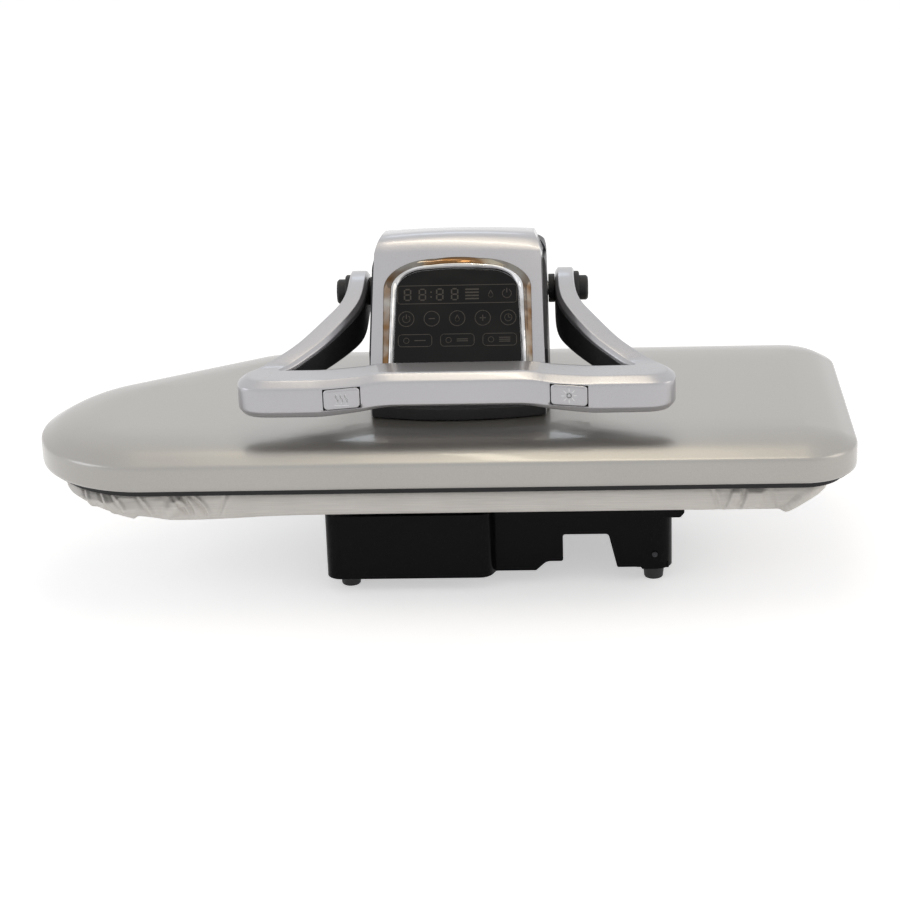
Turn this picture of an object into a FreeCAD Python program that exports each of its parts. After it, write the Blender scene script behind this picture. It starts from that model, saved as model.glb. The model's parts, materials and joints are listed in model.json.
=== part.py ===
"""Steam ironing press: a hinged heated plate over a padded board, with a lever handle.

Millimetres, +X to the right of the user, +Y to the back, +Z up.  The sizes below are measured
from the middle of the board.  The saved pieces are moved so that the origin is the middle of the
footprint box, on the table.
"""
import FreeCAD
import Part
import math
import os

from FreeCAD import Vector

# Plan of the heated plate
plate_width = 660.0
plate_depth = 270.0
nose_run = 178.0
nose_fall = 113.0
nose_front_radius = 95.0
nose_flat = 2.0
nose_blend_radius = 80.0
tail_radius = 45.0

# Heights of the stack, from the table upwards
foot_height = 12.5
base_height = 55.5
board_rise = 11.0
board_thickness = 22.0
press_gap = 0.3
skirt_height = 7.7
rim_height = 21.0
rim_tuck = 2.0
crown_height = 13.0
crown_run = 60.0
crown_power = 2.2
crown_steps = 6

# Walls and clearances
shell_wall = 2.5
base_wall = 3.0
seat_gap = 0.3
running_gap = 0.05

# Board
board_inset = 18.0
board_tuck = 7.0
board_steps = 6
cover_thickness = 1.5
hem_width = 38.0
tray_thickness = 8.0
tray_sheet = 2.0
tray_ribs = (-210.0, 44.0, 240.0)
board_post_radius = 11.0

# Soleplate and what stands on it
soleplate_inset = 20.0
soleplate_thickness = 9.0
skirt_inset = 11.0
skirt_flange = 2.0
skirt_flange_inset = 4.0
steam_hole_radius = 2.0
steam_rows = 3
steam_columns = 7
steam_pitch_x = 64.0
steam_pitch_y = 56.0
element_width = 12.0
element_height = 8.0
element_length = 420.0
element_span = 130.0
chamber_length = 170.0
chamber_width = 84.0
chamber_height = 16.0
hose_radius = 5.0
hose_y = 30.0
valve_half = 14.0
valve_height = 34.0
post_y = 51.0

# Arm and tower
arm_offset = 14.0
tower_half_top = 68.5
tower_half_foot = 70.5
tower_front = 62.0
panel_foot_height = 38.0
panel_run = 50.0
panel_rise = 78.0
tower_height = 136.0
crest_radius = 24.0
top_arch = 7.0
top_edge_radius = 20.0
housing_edge_radius = 24.0
front_edge_radius = 10.0
cover_depth = 24.0
cover_back = 50.0
arm_wall = 3.0
housing_lip = 2.5
housing_drop = 6.0
arm_half_rear = 44.0
frame_half = 34.0
frame_sheet = 3.0
frame_front = 5.0
bush_radius = 10.0
bush_start = 10.0
collar_height = 9.0
collar_bulge = 10.0

# Control panel
panel_half_width = 51.0
panel_start = 3.0
panel_length = 82.0
panel_corner = 26.0
bezel_band = 10.0
bezel_proud = 3.0
glass_thickness = 4.0
board_plate_thickness = 1.6

# Hinge at the back
hinge_y = 185.0
hinge_rise = 15.0
hinge_shaft_radius = 7.0
knuckle_radius = 22.0
cheek_thickness = 14.0
column_back = 235.0
column_depth = 85.0
column_floor = 6.0
gland_proud = 2.0

# Handle
pivot_y = 62.0
pivot_rise = 68.0
pivot_pin_radius = 6.0
handle_half_width = 172.0
handle_front = 114.0
bar_depth = 34.0
bar_rise = 21.0
bar_height = 27.0
arm_inner_half = 78.0
arm_width = 16.0
arm_bend_outer = 132.0
arm_bend_inner = 104.0
eye_radius = 18.0
liner_thickness = 4.0
liner_drop = 6.0
wave_start = 76.0
wave_end = 50.0
wave_rise = 6.5
wave_steps = 5
cap_radius = 14.0
cap_length = 12.0

# Buttons on the handle bar
button_x = 89.0
button_width = 28.5
button_height = 19.0
button_depth = 8.0
button_proud = 1.0
button_travel = 2.5
button_gap = 0.4
switch_half = 6.0
switch_depth = 6.0

# Base
base_left = 97.0
base_right = 185.0
base_front = 90.0
bay_setback = 14.0
base_back_of_bays = 60.0
tank_width = 126.0
tank_depth = 140.0
tank_wall = 2.5
tank_corner = 4.0
tank_face = 13.0
tank_mouth_radius = 17.0
notch_left = 96.0
notch_width = 37.0
notch_height = 31.5
notch_slant = 7.0
bay_lift_left = 8.0
bay_lift_right = 2.0
lip_reach = 10.0
lip_thickness = 5.0
foot_radius = 9.0
foot_margin = 3.0
base_corner = 12.0
base_step = 6.0
bottom_plate = 2.5
valve_radius = 5.0
valve_x = -30.0
valve_z = 26.0
gland_radius = 8.0
pump_radius = 15.0
pump_length = 48.0
pump_hose_radius = 4.0
chassis_half = 40.0
chassis_sheet = 2.0
chassis_fold = 10.0
power_board_start = 4.0
power_board_width = 46.0
power_board_depth = 56.0
power_board_lift = 5.0
gland_x = -22.0
gland_z = 34.0

# Values worked out from the sizes above
base_top = foot_height + base_height
board_bottom = base_top + board_rise
board_top = board_bottom + board_thickness
sole_bottom = board_top + press_gap
rim_bottom = sole_bottom + skirt_height
rim_top = rim_bottom + rim_height
plate_top = rim_top + crown_height
tower_top = plate_top + tower_height
half_width = plate_width / 2
half_depth = plate_depth / 2
sole_top = sole_bottom + soleplate_thickness
chamber_top = sole_top + chamber_height
hose_x = arm_offset + 10.0
nose_turn = math.atan2(nose_run, nose_fall)
nose_back_radius = (plate_depth - nose_fall - nose_front_radius - nose_flat) / math.tan(nose_turn / 2)
panel_foot_z = plate_top + panel_foot_height
slope = Vector(0, panel_run, panel_rise).normalize()
panel_out = Vector(0, -panel_rise, panel_run).normalize()
hinge_height = board_top + hinge_rise
pivot_height = plate_top + pivot_rise
bar_bottom = plate_top + bar_rise
bar_top = bar_bottom + bar_height
bar_back = bar_depth - handle_front
bar_loft_half = button_x + button_width
button_z = bar_bottom + bar_height / 2
pivot_share = (pivot_height - 2 * pivot_pin_radius - plate_top) / (tower_top - plate_top)
pivot_wall_draw = (tower_half_foot - tower_half_top) * pivot_share
column_half = arm_half_rear + 2 * seat_gap + cheek_thickness
middle_y = (column_back + gland_proud - half_depth) / 2
column_front = column_back - column_depth
tank_left = -base_left + base_wall + seat_gap
tank_right = tank_left + tank_width
tank_front = tank_face - base_front
tank_back = tank_depth - base_front
floor_top = foot_height + bottom_plate
tank_bottom = floor_top + seat_gap
tank_top = base_top - base_wall - 2 * seat_gap
divider = tank_right + seat_gap
well_back = tank_back + seat_gap
bay_front = -base_front + bay_setback
foot_x = base_right - base_wall - foot_radius - foot_margin
foot_y = bay_front + base_wall + foot_radius + foot_margin

solids = {}


def on_plan(z):
    """Plan drawing: (u, v) becomes (x, y) at height z."""
    return lambda u, v: Vector(u, v, z)


def on_side(x):
    """Side drawing: (u, v) becomes (y, z) at x."""
    return lambda u, v: Vector(x, u, v)


def on_front(y):
    """Front drawing: (u, v) becomes (x, z) at y."""
    return lambda u, v: Vector(u, y, v)


def rounded(corners, place):
    """Closed wire through corners (u, v, radius), each corner rounded by its radius."""
    count = len(corners)
    starts, arcs, ends = [], [], []
    for i, (u, v, radius) in enumerate(corners):
        before, after = corners[i - 1], corners[(i + 1) % count]
        a = FreeCAD.Vector(before[0] - u, before[1] - v, 0).normalize()
        b = FreeCAD.Vector(after[0] - u, after[1] - v, 0).normalize()
        corner = Vector(u, v, 0)
        if radius <= 0:
            starts.append(corner)
            arcs.append(None)
            ends.append(corner)
            continue
        half = a.getAngle(b) / 2
        reach = radius / math.tan(half)
        middle = corner + (a + b).normalize() * (radius / math.sin(half) - radius)
        starts.append(corner + a * reach)
        arcs.append(middle)
        ends.append(corner + b * reach)
    edges = []
    for i in range(count):
        if arcs[i] is not None:
            points = [place(p.x, p.y) for p in (starts[i], arcs[i], ends[i])]
            edges.append(Part.Arc(*points).toShape())
        line = [place(p.x, p.y) for p in (ends[i], starts[(i + 1) % count])]
        if (line[1] - line[0]).Length > 1e-6:
            edges.append(Part.LineSegment(*line).toShape())
    return Part.Wire(edges)


def prism(wire, along):
    """Solid made by sliding a flat closed wire along a vector."""
    return Part.Face(wire).extrude(along)


def box(x0, x1, y0, y1, z0, z1):
    """Block between two corners."""
    return Part.makeBox(x1 - x0, y1 - y0, z1 - z0, Vector(x0, y0, z0))


def rod_x(radius, x0, x1, y, z):
    """Round bar along X."""
    return Part.makeCylinder(radius, x1 - x0, Vector(x0, y, z), Vector(1, 0, 0))


def rod_y(radius, x, y0, y1, z):
    """Round bar along Y."""
    return Part.makeCylinder(radius, y1 - y0, Vector(x, y0, z), Vector(0, 1, 0))


def rod_z(radius, x, y, z0, z1):
    """Round bar along Z."""
    return Part.makeCylinder(radius, z1 - z0, Vector(x, y, z0), Vector(0, 0, 1))


def inset_corners(corners, distance):
    """Move every side of a closed counter-clockwise outline inwards by a distance."""
    moved = []
    count = len(corners)
    for i, (u, v, radius) in enumerate(corners):
        before, after = corners[i - 1], corners[(i + 1) % count]
        d1 = Vector(u - before[0], v - before[1], 0).normalize()
        d2 = Vector(after[0] - u, after[1] - v, 0).normalize()
        n1, n2 = Vector(-d1.y, d1.x, 0), Vector(-d2.y, d2.x, 0)
        shift = (n1 + n2) * (distance / (1 + n1.dot(n2)))
        moved.append((u + shift.x, v + shift.y, max(radius - distance, 1.0)))
    return moved


def plate_corners():
    """Plan of the plate: square tail on the right, slanted back and round nose on the left."""
    return [
        (half_width, -half_depth, tail_radius),
        (half_width, half_depth, tail_radius),
        (nose_run - half_width, half_depth, nose_blend_radius),
        (-half_width, half_depth - nose_fall, nose_back_radius),
        (-half_width, -half_depth, nose_front_radius),
    ]


def plate_wire(inset, z):
    """Plate outline, drawn in by an inset, at one height."""
    return rounded(inset_corners(plate_corners(), inset), on_plan(z))


def plate_slab(inset, z0, z1):
    """Flat slab with the plate's outline."""
    return prism(plate_wire(inset, z0), Vector(0, 0, z1 - z0))


def save(name, shape):
    """Keep one piece under its node name."""
    solids[name] = shape


def stack(levels):
    """Body through plate outlines, each level given as (inset, height)."""
    return Part.makeLoft([plate_wire(inset, z) for inset, z in levels], True, True)


def shell_form(inset, drop):
    """Upper shell as a full body: upright rim with a soft edge and a low crown."""
    levels = [(inset + rim_tuck, rim_bottom - drop), (inset, rim_bottom + 2 * rim_tuck - drop)]
    for step in range(crown_steps + 1):
        share = step / crown_steps
        rise = crown_height * (1 - (1 - share) ** crown_power)
        levels.append((inset + crown_run * share ** 2, rim_top + rise - drop))
    return stack(levels)


def make_upper_shell():
    """Silver top of the plate, a thin shell open below, with a hole for the steam hose."""
    hose_hole = rod_z(hose_radius + 3 * seat_gap, hose_x, hose_y, rim_top, plate_top + 1)
    inside = shell_form(shell_wall, shell_wall)
    below = plate_slab(rim_tuck + shell_wall, rim_bottom - 2 * shell_wall, rim_bottom)
    save("upper_shell", shell_form(0.0, 0.0).cut(inside).cut(below).cut(hose_hole))


def make_plate_skirt():
    """Black heat-proof band round the soleplate, under the shell."""
    band = plate_slab(skirt_inset, sole_bottom + seat_gap, rim_bottom)
    flange = plate_slab(skirt_flange_inset, rim_bottom - skirt_flange, rim_bottom)
    hole = plate_slab(soleplate_inset - seat_gap, sole_bottom, rim_bottom)
    save("plate_skirt", band.fuse(flange).cut(hole).removeSplitter())


def make_soleplate():
    """Heated aluminium plate with rows of steam holes."""
    plate = plate_slab(soleplate_inset, sole_bottom, sole_top)
    holes = []
    for row in range(steam_rows):
        for column in range(steam_columns):
            x = (column - (steam_columns - 1) / 2) * steam_pitch_x
            y = (row - (steam_rows - 1) / 2) * steam_pitch_y
            holes.append(rod_z(steam_hole_radius, x, y, sole_bottom - 1, sole_top + 1))
    save("soleplate", plate.cut(Part.makeCompound(holes)))


def make_heating_element():
    """U-shaped element bar with sloping sides that lies on the soleplate."""
    def loop(width, z):
        bend = element_span / 2 + width / 2
        left = element_span / 2 - element_length / 2
        right = element_length / 2
        corners = [Vector(right, -bend, z), Vector(left, -bend, z), Vector(left - bend, 0, z),
                   Vector(left, bend, z), Vector(right, bend, z)]
        inner = bend - width
        return Part.Wire([
            Part.LineSegment(corners[0], corners[1]).toShape(),
            Part.Arc(corners[1], corners[2], corners[3]).toShape(),
            Part.LineSegment(corners[3], corners[4]).toShape(),
            Part.LineSegment(corners[4], Vector(right, inner, z)).toShape(),
            Part.LineSegment(Vector(right, inner, z), Vector(left, inner, z)).toShape(),
            Part.Arc(Vector(left, inner, z), Vector(left - inner, 0, z), Vector(left, -inner, z)).toShape(),
            Part.LineSegment(Vector(left, -inner, z), Vector(right, -inner, z)).toShape(),
            Part.LineSegment(Vector(right, -inner, z), corners[0]).toShape(),
        ])
    wires = [loop(element_width, sole_top), loop(0.6 * element_width, sole_top + element_height)]
    save("heating_element", Part.makeLoft(wires, True, True))


def make_steam_chamber():
    """Pressed pan over the middle of the soleplate, where water turns to steam."""
    def pan(inset, top):
        half_length, half_chamber = chamber_length / 2 - inset, chamber_width / 2 - inset
        corners = [
            (arm_offset - half_length, -half_chamber, 12.0),
            (arm_offset + half_length, -half_chamber, 12.0),
            (arm_offset + half_length, half_chamber, 12.0),
            (arm_offset - half_length, half_chamber, 12.0),
        ]
        return prism(rounded(corners, on_plan(sole_top)), Vector(0, 0, top - sole_top))
    outer = pan(0.0, chamber_top)
    save("steam_chamber_cover", outer.cut(pan(shell_wall, chamber_top - shell_wall)))


def make_plate_fittings():
    """Thermostat, thermal fuse and the four posts that tie soleplate and shell."""
    thermostat_x = arm_offset + chamber_length / 2 + 24
    flange = box(thermostat_x - 17, thermostat_x + 17, -9, 9, sole_top, sole_top + 2)
    save("thermostat", flange.fuse(rod_z(9, thermostat_x, 0, sole_top, sole_top + 11)).removeSplitter())
    fuse_x = arm_offset - chamber_length / 2 - 30
    clip = box(fuse_x - 6, fuse_x + 6, -5, 5, sole_top, sole_top + 3)
    save("thermal_fuse", clip.fuse(rod_x(3, fuse_x - 14, fuse_x + 14, 0, sole_top + 3.5)).removeSplitter())
    posts = []
    for side in (-1, 1):
        for y in (-post_y, post_y):
            x = arm_offset + side * (chamber_length / 2 - 10)
            posts.append(rod_z(5, x, y, sole_top, plate_top - shell_wall))
    save("plate_standoffs", Part.makeCompound(posts))


def board_form(inset):
    """Padded board as a full body: round edge, tucked under and crowned on top."""
    middle, half = (board_bottom + board_top) / 2, board_thickness / 2 - inset
    levels = []
    for step in range(board_steps + 1):
        angle = math.pi * (step / board_steps - 0.5)
        side = board_inset + inset + board_tuck * (1 - math.cos(angle))
        levels.append((side, middle + half * math.sin(angle)))
    return stack(levels)


def make_board():
    """Metal tray, foam pad and the cloth cover that is drawn in under the tray."""
    opening = plate_slab(board_inset + hem_width, board_bottom - 1, board_bottom + cover_thickness + 1)
    cover = board_form(0.0).cut(board_form(cover_thickness)).cut(opening)
    save("board_cover", cover)
    core = board_form(cover_thickness + seat_gap)
    split = board_bottom + cover_thickness + seat_gap + tray_thickness
    upper_half = plate_slab(0.0, split, board_top)
    save("board_pad", core.common(upper_half))
    pan_ceiling = split - tray_sheet
    pocket = plate_slab(board_inset + board_tuck + 2 * tray_sheet, board_bottom, pan_ceiling)
    for rib_x in tray_ribs:
        pocket = pocket.cut(box(rib_x, rib_x + tray_sheet, -plate_depth, plate_depth, 0, pan_ceiling))
    save("board_tray", core.cut(upper_half).cut(pocket))
    posts = []
    for x in (-base_left + 30, base_right - 30):
        for y in (-base_front + 40, base_back_of_bays - 25):
            posts.append(rod_z(board_post_radius, x, y, base_top, pan_ceiling))
    save("board_posts", Part.makeCompound(posts))


def arm_side_corners():
    """Side drawing of the arm: upright foot, slanted panel, crest, long back, round knuckle."""
    crest_u = (tower_top - panel_foot_z) * panel_run / panel_rise - tower_front
    knuckle_back = hinge_y + knuckle_radius
    knuckle_low = hinge_height - knuckle_radius
    back_of_plate = half_depth + 8.0
    return [
        (-tower_front, plate_top, 0.0),
        (back_of_plate, plate_top, 6.0),
        (hinge_y - knuckle_radius, knuckle_low, 8.0),
        (knuckle_back, knuckle_low, 0.9 * knuckle_radius),
        (knuckle_back, hinge_height + knuckle_radius, 0.9 * knuckle_radius),
        (pivot_y + 62.0, pivot_height + 6.0, 60.0),
        (cover_back, tower_top - 8.0, 30.0),
        (crest_u, tower_top, crest_radius),
        (-tower_front, panel_foot_z, 20.0),
    ]


def arm_form(inset, lip, drop, edge_radius):
    """Whole arm with its tower as a full body: inset draws it in, lip widens it, drop lowers its crown."""
    reach = 2 * column_half + plate_width
    side = inset_corners(arm_side_corners(), inset)
    if inset == 0:
        side = arm_side_corners()
    lengthways = prism(rounded(side, on_side(-reach)), Vector(2 * reach, 0, 0))
    low = hinge_height - 2 * knuckle_radius
    foot_half = tower_half_foot + lip - inset
    top_half = tower_half_top + lip - inset
    arch_half = 0.6 * top_half
    crown = tower_top - inset - drop
    right_side = [
        (foot_half, low, 0.0),
        (foot_half, plate_top, 0.0),
        (top_half, crown - top_arch, edge_radius - inset),
        (arch_half, crown, arch_half),
    ]
    left_side = [(-u, v, radius) for u, v, radius in reversed(right_side)]
    front = [(arm_offset + u, v, radius) for u, v, radius in right_side + left_side]
    crosswise = prism(rounded(front, on_front(-reach)), Vector(0, 2 * reach, 0))
    wide, narrow = foot_half, arm_half_rear - inset
    plan = [
        (arm_offset - wide, -tower_front + inset, front_edge_radius - inset),
        (arm_offset + wide, -tower_front + inset, front_edge_radius - inset),
        (arm_offset + wide, pivot_y, 30.0),
        (arm_offset + narrow, half_depth - 4.0, 30.0),
        (arm_offset + narrow, hinge_y + 2 * knuckle_radius, 0.0),
        (arm_offset - narrow, hinge_y + 2 * knuckle_radius, 0.0),
        (arm_offset - narrow, half_depth - 4.0, 30.0),
        (arm_offset - wide, pivot_y, 30.0),
    ]
    upright = prism(rounded(plan, on_plan(0.0)), Vector(0, 0, 2 * tower_top))
    return lengthways.common(crosswise).common(upright)


def on_panel(rise):
    """Drawing on the slanted panel: (u, v) is across and up the slope, rise is out of it."""
    foot = Vector(arm_offset, -tower_front, panel_foot_z)
    return lambda u, v: foot + Vector(u, 0, 0) + slope * v + panel_out * rise


def arch_wire(grow, rise, foot_grow):
    """Arch outline on the panel: straight foot, upright sides, round top corners."""
    half = panel_half_width + grow
    low, high = panel_start - foot_grow, panel_start + panel_length + grow
    corners = [
        (-half, low, 3.0),
        (half, low, 3.0),
        (half, high, panel_corner + grow),
        (-half, high, panel_corner + grow),
    ]
    return rounded(corners, on_panel(rise))


def arch(grow, low, high, foot_grow):
    """Arch-shaped slab between two heights over the panel's surface."""
    return prism(arch_wire(grow, low, foot_grow), panel_out * (high - low))


def make_tower():
    """Silver front cover and dark arm housing, two shells that meet edge to edge."""
    skin = arm_form(0.0, 0.0, 0.0, top_edge_radius)
    skin = skin.cut(arm_form(arm_wall, 0.0, 0.0, top_edge_radius))
    dark_skin = arm_form(0.0, housing_lip, housing_drop, housing_edge_radius)
    dark_skin = dark_skin.cut(arm_form(arm_wall, housing_lip, housing_drop, housing_edge_radius))
    split_y = cover_depth - tower_front
    split = [
        (split_y, plate_top - 1),
        (split_y, panel_foot_z + 0.4 * cover_depth),
        (cover_back - 1.4 * cover_depth, tower_top - cover_depth),
        (cover_back, tower_top - 1.2 * cover_depth),
        (cover_back, 2 * tower_top),
        (-2 * tower_front, 2 * tower_top),
        (-2 * tower_front, plate_top - 1),
    ]
    reach = 2 * tower_half_foot
    corners = [(u, v, 0.0) for u, v in split]
    front_zone = prism(rounded(corners, on_side(arm_offset - reach)), Vector(2 * reach, 0, 0))
    window = arch(seat_gap, -2 * cover_depth, 2 * bezel_proud, seat_gap)
    save("tower_cover", skin.common(front_zone).cut(window))
    pivot_hole = rod_x(pivot_pin_radius + running_gap, arm_offset - reach, arm_offset + reach,
                       pivot_y, pivot_height)
    shaft_hole = rod_x(hinge_shaft_radius + 2 * seat_gap, arm_offset - reach, arm_offset + reach,
                       hinge_y, hinge_height)
    hose_hole = rod_z(hose_radius + 3 * seat_gap, hose_x, hose_y, plate_top - 1, plate_top + 2 * arm_wall)
    save("arm_housing", dark_skin.cut(front_zone).cut(pivot_hole).cut(shaft_hole).cut(hose_hole))


def make_tower_collar():
    """Black crescent foot in front of the tower."""
    left = Vector(arm_offset - tower_half_foot, -tower_front, plate_top)
    right = Vector(arm_offset + tower_half_foot, -tower_front, plate_top)
    front = Vector(arm_offset, -tower_front - collar_bulge, plate_top)
    outline = Part.Wire([Part.Arc(left, front, right).toShape(), Part.LineSegment(right, left).toShape()])
    save("tower_collar", prism(outline, Vector(0, 0, collar_height)))


def make_control_panel():
    """Black glass, chrome arch round it, display and circuit board behind it."""
    glass_low = 1.0 - glass_thickness
    save("control_glass", arch(0.0, glass_low, 1.0, 0.0))
    outer = arch(bezel_band, 0.0, bezel_proud, 0.0)
    save("chrome_bezel", outer.cut(arch(seat_gap, -1.0, 2 * bezel_proud, bezel_band)))
    display_depth = 5.0
    display = [(-42, 46, 0.0), (40, 46, 0.0), (40, 66, 0.0), (-42, 66, 0.0)]
    display_wire = rounded(display, on_panel(glass_low - display_depth))
    save("display_module", prism(display_wire, panel_out * display_depth))
    board = [(-46, 8, 2.0), (46, 8, 2.0), (46, 68, 2.0), (-46, 68, 2.0)]
    board_low = glass_low - display_depth - board_plate_thickness
    save("control_board", prism(rounded(board, on_panel(board_low)), panel_out * board_plate_thickness))


def make_arm_frame():
    """Steel frame inside the arm: two cheeks, a foot plate and a tube for the hinge bushes."""
    cheek_inset = 2 * arm_wall
    side = inset_corners(arm_side_corners(), cheek_inset)
    cheeks = []
    for x in (arm_offset - frame_half, arm_offset + frame_half - frame_sheet):
        cheeks.append(prism(rounded(side, on_side(x)), Vector(frame_sheet, 0, 0)))
    foot_front = cover_depth - tower_front + 2 * cheek_inset
    foot = box(arm_offset - frame_half, arm_offset + frame_half, foot_front, half_depth - 20,
               plate_top + arm_wall, plate_top + cheek_inset)
    foot = foot.cut(rod_z(hose_radius + 3 * seat_gap, hose_x, hose_y, plate_top, plate_top + 3 * arm_wall))
    tube_radius = knuckle_radius - cheek_inset
    hinge_tube = rod_x(tube_radius, arm_offset - frame_half, arm_offset + frame_half, hinge_y, hinge_height)
    frame = cheeks[0].multiFuse([cheeks[1], foot, hinge_tube])
    bore = rod_x(bush_radius + running_gap, arm_offset - 2 * frame_half, arm_offset + 2 * frame_half,
                 hinge_y, hinge_height)
    pin_hole = rod_x(pivot_pin_radius + running_gap, arm_offset - 2 * frame_half,
                     arm_offset + 2 * frame_half, pivot_y, pivot_height)
    tower_zone = box(-plate_width, plate_width, -plate_depth, -frame_front, 0, 2 * tower_top)
    save("arm_frame", frame.cut(bore).cut(pin_hole).cut(tower_zone))


def make_hinge():
    """Steel shaft through the column cheeks and the two bushes that turn on it."""
    half = column_half
    shaft = rod_x(hinge_shaft_radius, arm_offset - half, arm_offset + half, hinge_y, hinge_height)
    save("hinge_shaft", shaft)
    bushes = []
    for side in (-1, 1):
        ends = sorted((arm_offset + side * bush_start, arm_offset + side * frame_half))
        bush = rod_x(bush_radius, ends[0], ends[1], hinge_y, hinge_height)
        bore = rod_x(hinge_shaft_radius + running_gap, ends[0], ends[1], hinge_y, hinge_height)
        bushes.append(bush.cut(bore))
    save("hinge_bushes", Part.makeCompound(bushes))


def make_steam_hose():
    """Short hose from the steam chamber up to the valve on the arm's foot plate."""
    valve_low = plate_top + 2 * arm_wall
    save("steam_hose", rod_z(hose_radius, hose_x, hose_y, chamber_top, valve_low))
    valve = box(hose_x - valve_half, hose_x + valve_half, hose_y - valve_half, hose_y + valve_half,
                valve_low, valve_low + valve_height)
    save("steam_valve", valve)


def handle_outer():
    """Outer plan of the handle: a bar in front and two arms that close in on the tower."""
    rear = arm_inner_half + arm_width
    back = pivot_y + eye_radius
    return [
        (arm_offset - handle_half_width, -handle_front, 16.0),
        (arm_offset + handle_half_width, -handle_front, 16.0),
        (arm_offset + handle_half_width, bar_back - 8.0, 20.0),
        (arm_offset + arm_bend_outer, bar_back + 35.0, 60.0),
        (arm_offset + rear, bar_back + 100.0, 60.0),
        (arm_offset + rear, back, 0.0),
        (arm_offset - rear, back, 0.0),
        (arm_offset - rear, bar_back + 100.0, 60.0),
        (arm_offset - arm_bend_outer, bar_back + 35.0, 60.0),
        (arm_offset - handle_half_width, bar_back - 8.0, 20.0),
    ]


def handle_inner():
    """Inner plan of the handle, open towards the back."""
    front_half = handle_half_width - 32.0
    back = pivot_y + 3 * eye_radius
    return [
        (arm_offset - front_half, bar_back, 6.0),
        (arm_offset + front_half, bar_back, 6.0),
        (arm_offset + arm_bend_inner, bar_back + 42.0, 60.0),
        (arm_offset + arm_inner_half, bar_back + 94.0, 50.0),
        (arm_offset + arm_inner_half, back, 0.0),
        (arm_offset - arm_inner_half, back, 0.0),
        (arm_offset - arm_inner_half, bar_back + 94.0, 50.0),
        (arm_offset - arm_bend_inner, bar_back + 42.0, 60.0),
    ]


def handle_band(lower):
    """Side drawing of the handle: low bar, rising arms, round eyes at the pivot."""
    eye_low, eye_high = pivot_height - eye_radius, pivot_height + eye_radius
    eye_back = pivot_y + eye_radius
    corners = [
        (-handle_front, bar_bottom - lower, 5.0),
        (bar_back + 5.0, bar_bottom - lower, 20.0),
        (pivot_y - 32.0, eye_low - lower, 30.0),
        (eye_back, eye_low - lower, 0.85 * eye_radius),
        (eye_back, eye_high - lower, 0.85 * eye_radius),
        (pivot_y - 14.0, eye_high - lower, 20.0),
        (bar_back + 8.0, bar_top + 2.0 - lower, 30.0),
        (-handle_front, bar_top - 2.0 - lower, 8.0),
    ]
    left = arm_offset - 2 * handle_half_width
    return prism(rounded(corners, on_side(left)), Vector(4 * handle_half_width, 0, 0))


def wavy_bar():
    """Middle of the handle bar: one section carried across, lifted in the middle by a soft wave."""
    stations = [-bar_loft_half]
    for step in range(wave_steps + 1):
        stations.append(-wave_start + (wave_start - wave_end) * step / wave_steps)
    stations += [-x for x in reversed(stations)]
    wires = []
    for x in stations:
        share = min(max((wave_start - abs(x)) / (wave_start - wave_end), 0.0), 1.0)
        lift = wave_rise * share * share * (3 - 2 * share)
        corners = [
            (-handle_front, bar_bottom + lift, 5.0),
            (bar_back, bar_bottom + lift, 0.0),
            (bar_back, bar_top + 1.0 + lift, 0.0),
            (-handle_front, bar_top - 2.0 + lift, 8.0),
        ]
        wires.append(rounded(corners, on_side(arm_offset + x)))
    return Part.makeLoft(wires, True, True)


def plan_prism(corners):
    """Tall upright prism on a plan outline."""
    return prism(rounded(corners, on_plan(0.0)), Vector(0, 0, 2 * tower_top))


def make_handle():
    """Silver handle loop with a black liner on its inner faces, and the pivot caps."""
    loop = plan_prism(handle_outer()).cut(plan_prism(handle_inner())).common(handle_band(0.0))
    middle = box(arm_offset - bar_loft_half, arm_offset + bar_loft_half, -2 * handle_front, bar_back,
                 0, 2 * tower_top)
    loop = loop.cut(middle).fuse(wavy_bar()).removeSplitter()
    reach = 2 * handle_half_width
    pin_hole = rod_x(pivot_pin_radius + running_gap, arm_offset - reach, arm_offset + reach,
                     pivot_y, pivot_height)
    loop = loop.cut(pin_hole)
    liner_zone = plan_prism(inset_corners(handle_inner(), -liner_thickness)).common(handle_band(liner_drop))
    save("handle_liner", loop.common(liner_zone))
    body = loop.cut(liner_zone)
    pocket_depth = button_depth - button_proud + button_travel + 2 * seat_gap
    switches = []
    for side in (-1, 1):
        x = arm_offset + side * button_x
        half = button_width / 2 + button_gap
        high = button_height / 2 + button_gap
        pocket_back = pocket_depth - handle_front
        pocket = box(x - half, x + half, -handle_front - 1, pocket_back, button_z - high, button_z + high)
        switch = box(x - switch_half, x + switch_half, pocket_back, pocket_back + switch_depth,
                     button_z - switch_half, button_z + switch_half)
        body = body.cut(pocket).cut(switch)
        switches.append(switch)
    save("handle_shell", body)
    save("button_switches", Part.makeCompound(switches))
    caps = []
    for side in (-1, 1):
        face = arm_inner_half + arm_width
        steps = ((cap_radius, 0.4 * cap_length), (0.75 * cap_radius, cap_length))
        rods = []
        for radius, length in steps:
            ends = sorted((arm_offset + side * face, arm_offset + side * (face + length)))
            rods.append(rod_x(radius, ends[0], ends[1], pivot_y, pivot_height))
        caps.append(rods[0].fuse(rods[1]).removeSplitter())
    save("pivot_caps", Part.makeCompound(caps))


def make_buttons():
    """Two steam buttons that slide into the front of the handle bar."""
    for name, side in (("steam_button_left", -1), ("steam_button_right", 1)):
        x = arm_offset + side * button_x
        half, high = button_width / 2, button_height / 2
        corners = [
            (x - half, button_z - high, 3.0),
            (x + half, button_z - high, 3.0),
            (x + half, button_z + high, 3.0),
            (x - half, button_z + high, 3.0),
        ]
        wire = rounded(corners, on_front(-handle_front - button_proud))
        save(name, prism(wire, Vector(0, button_depth, 0)))


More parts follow.
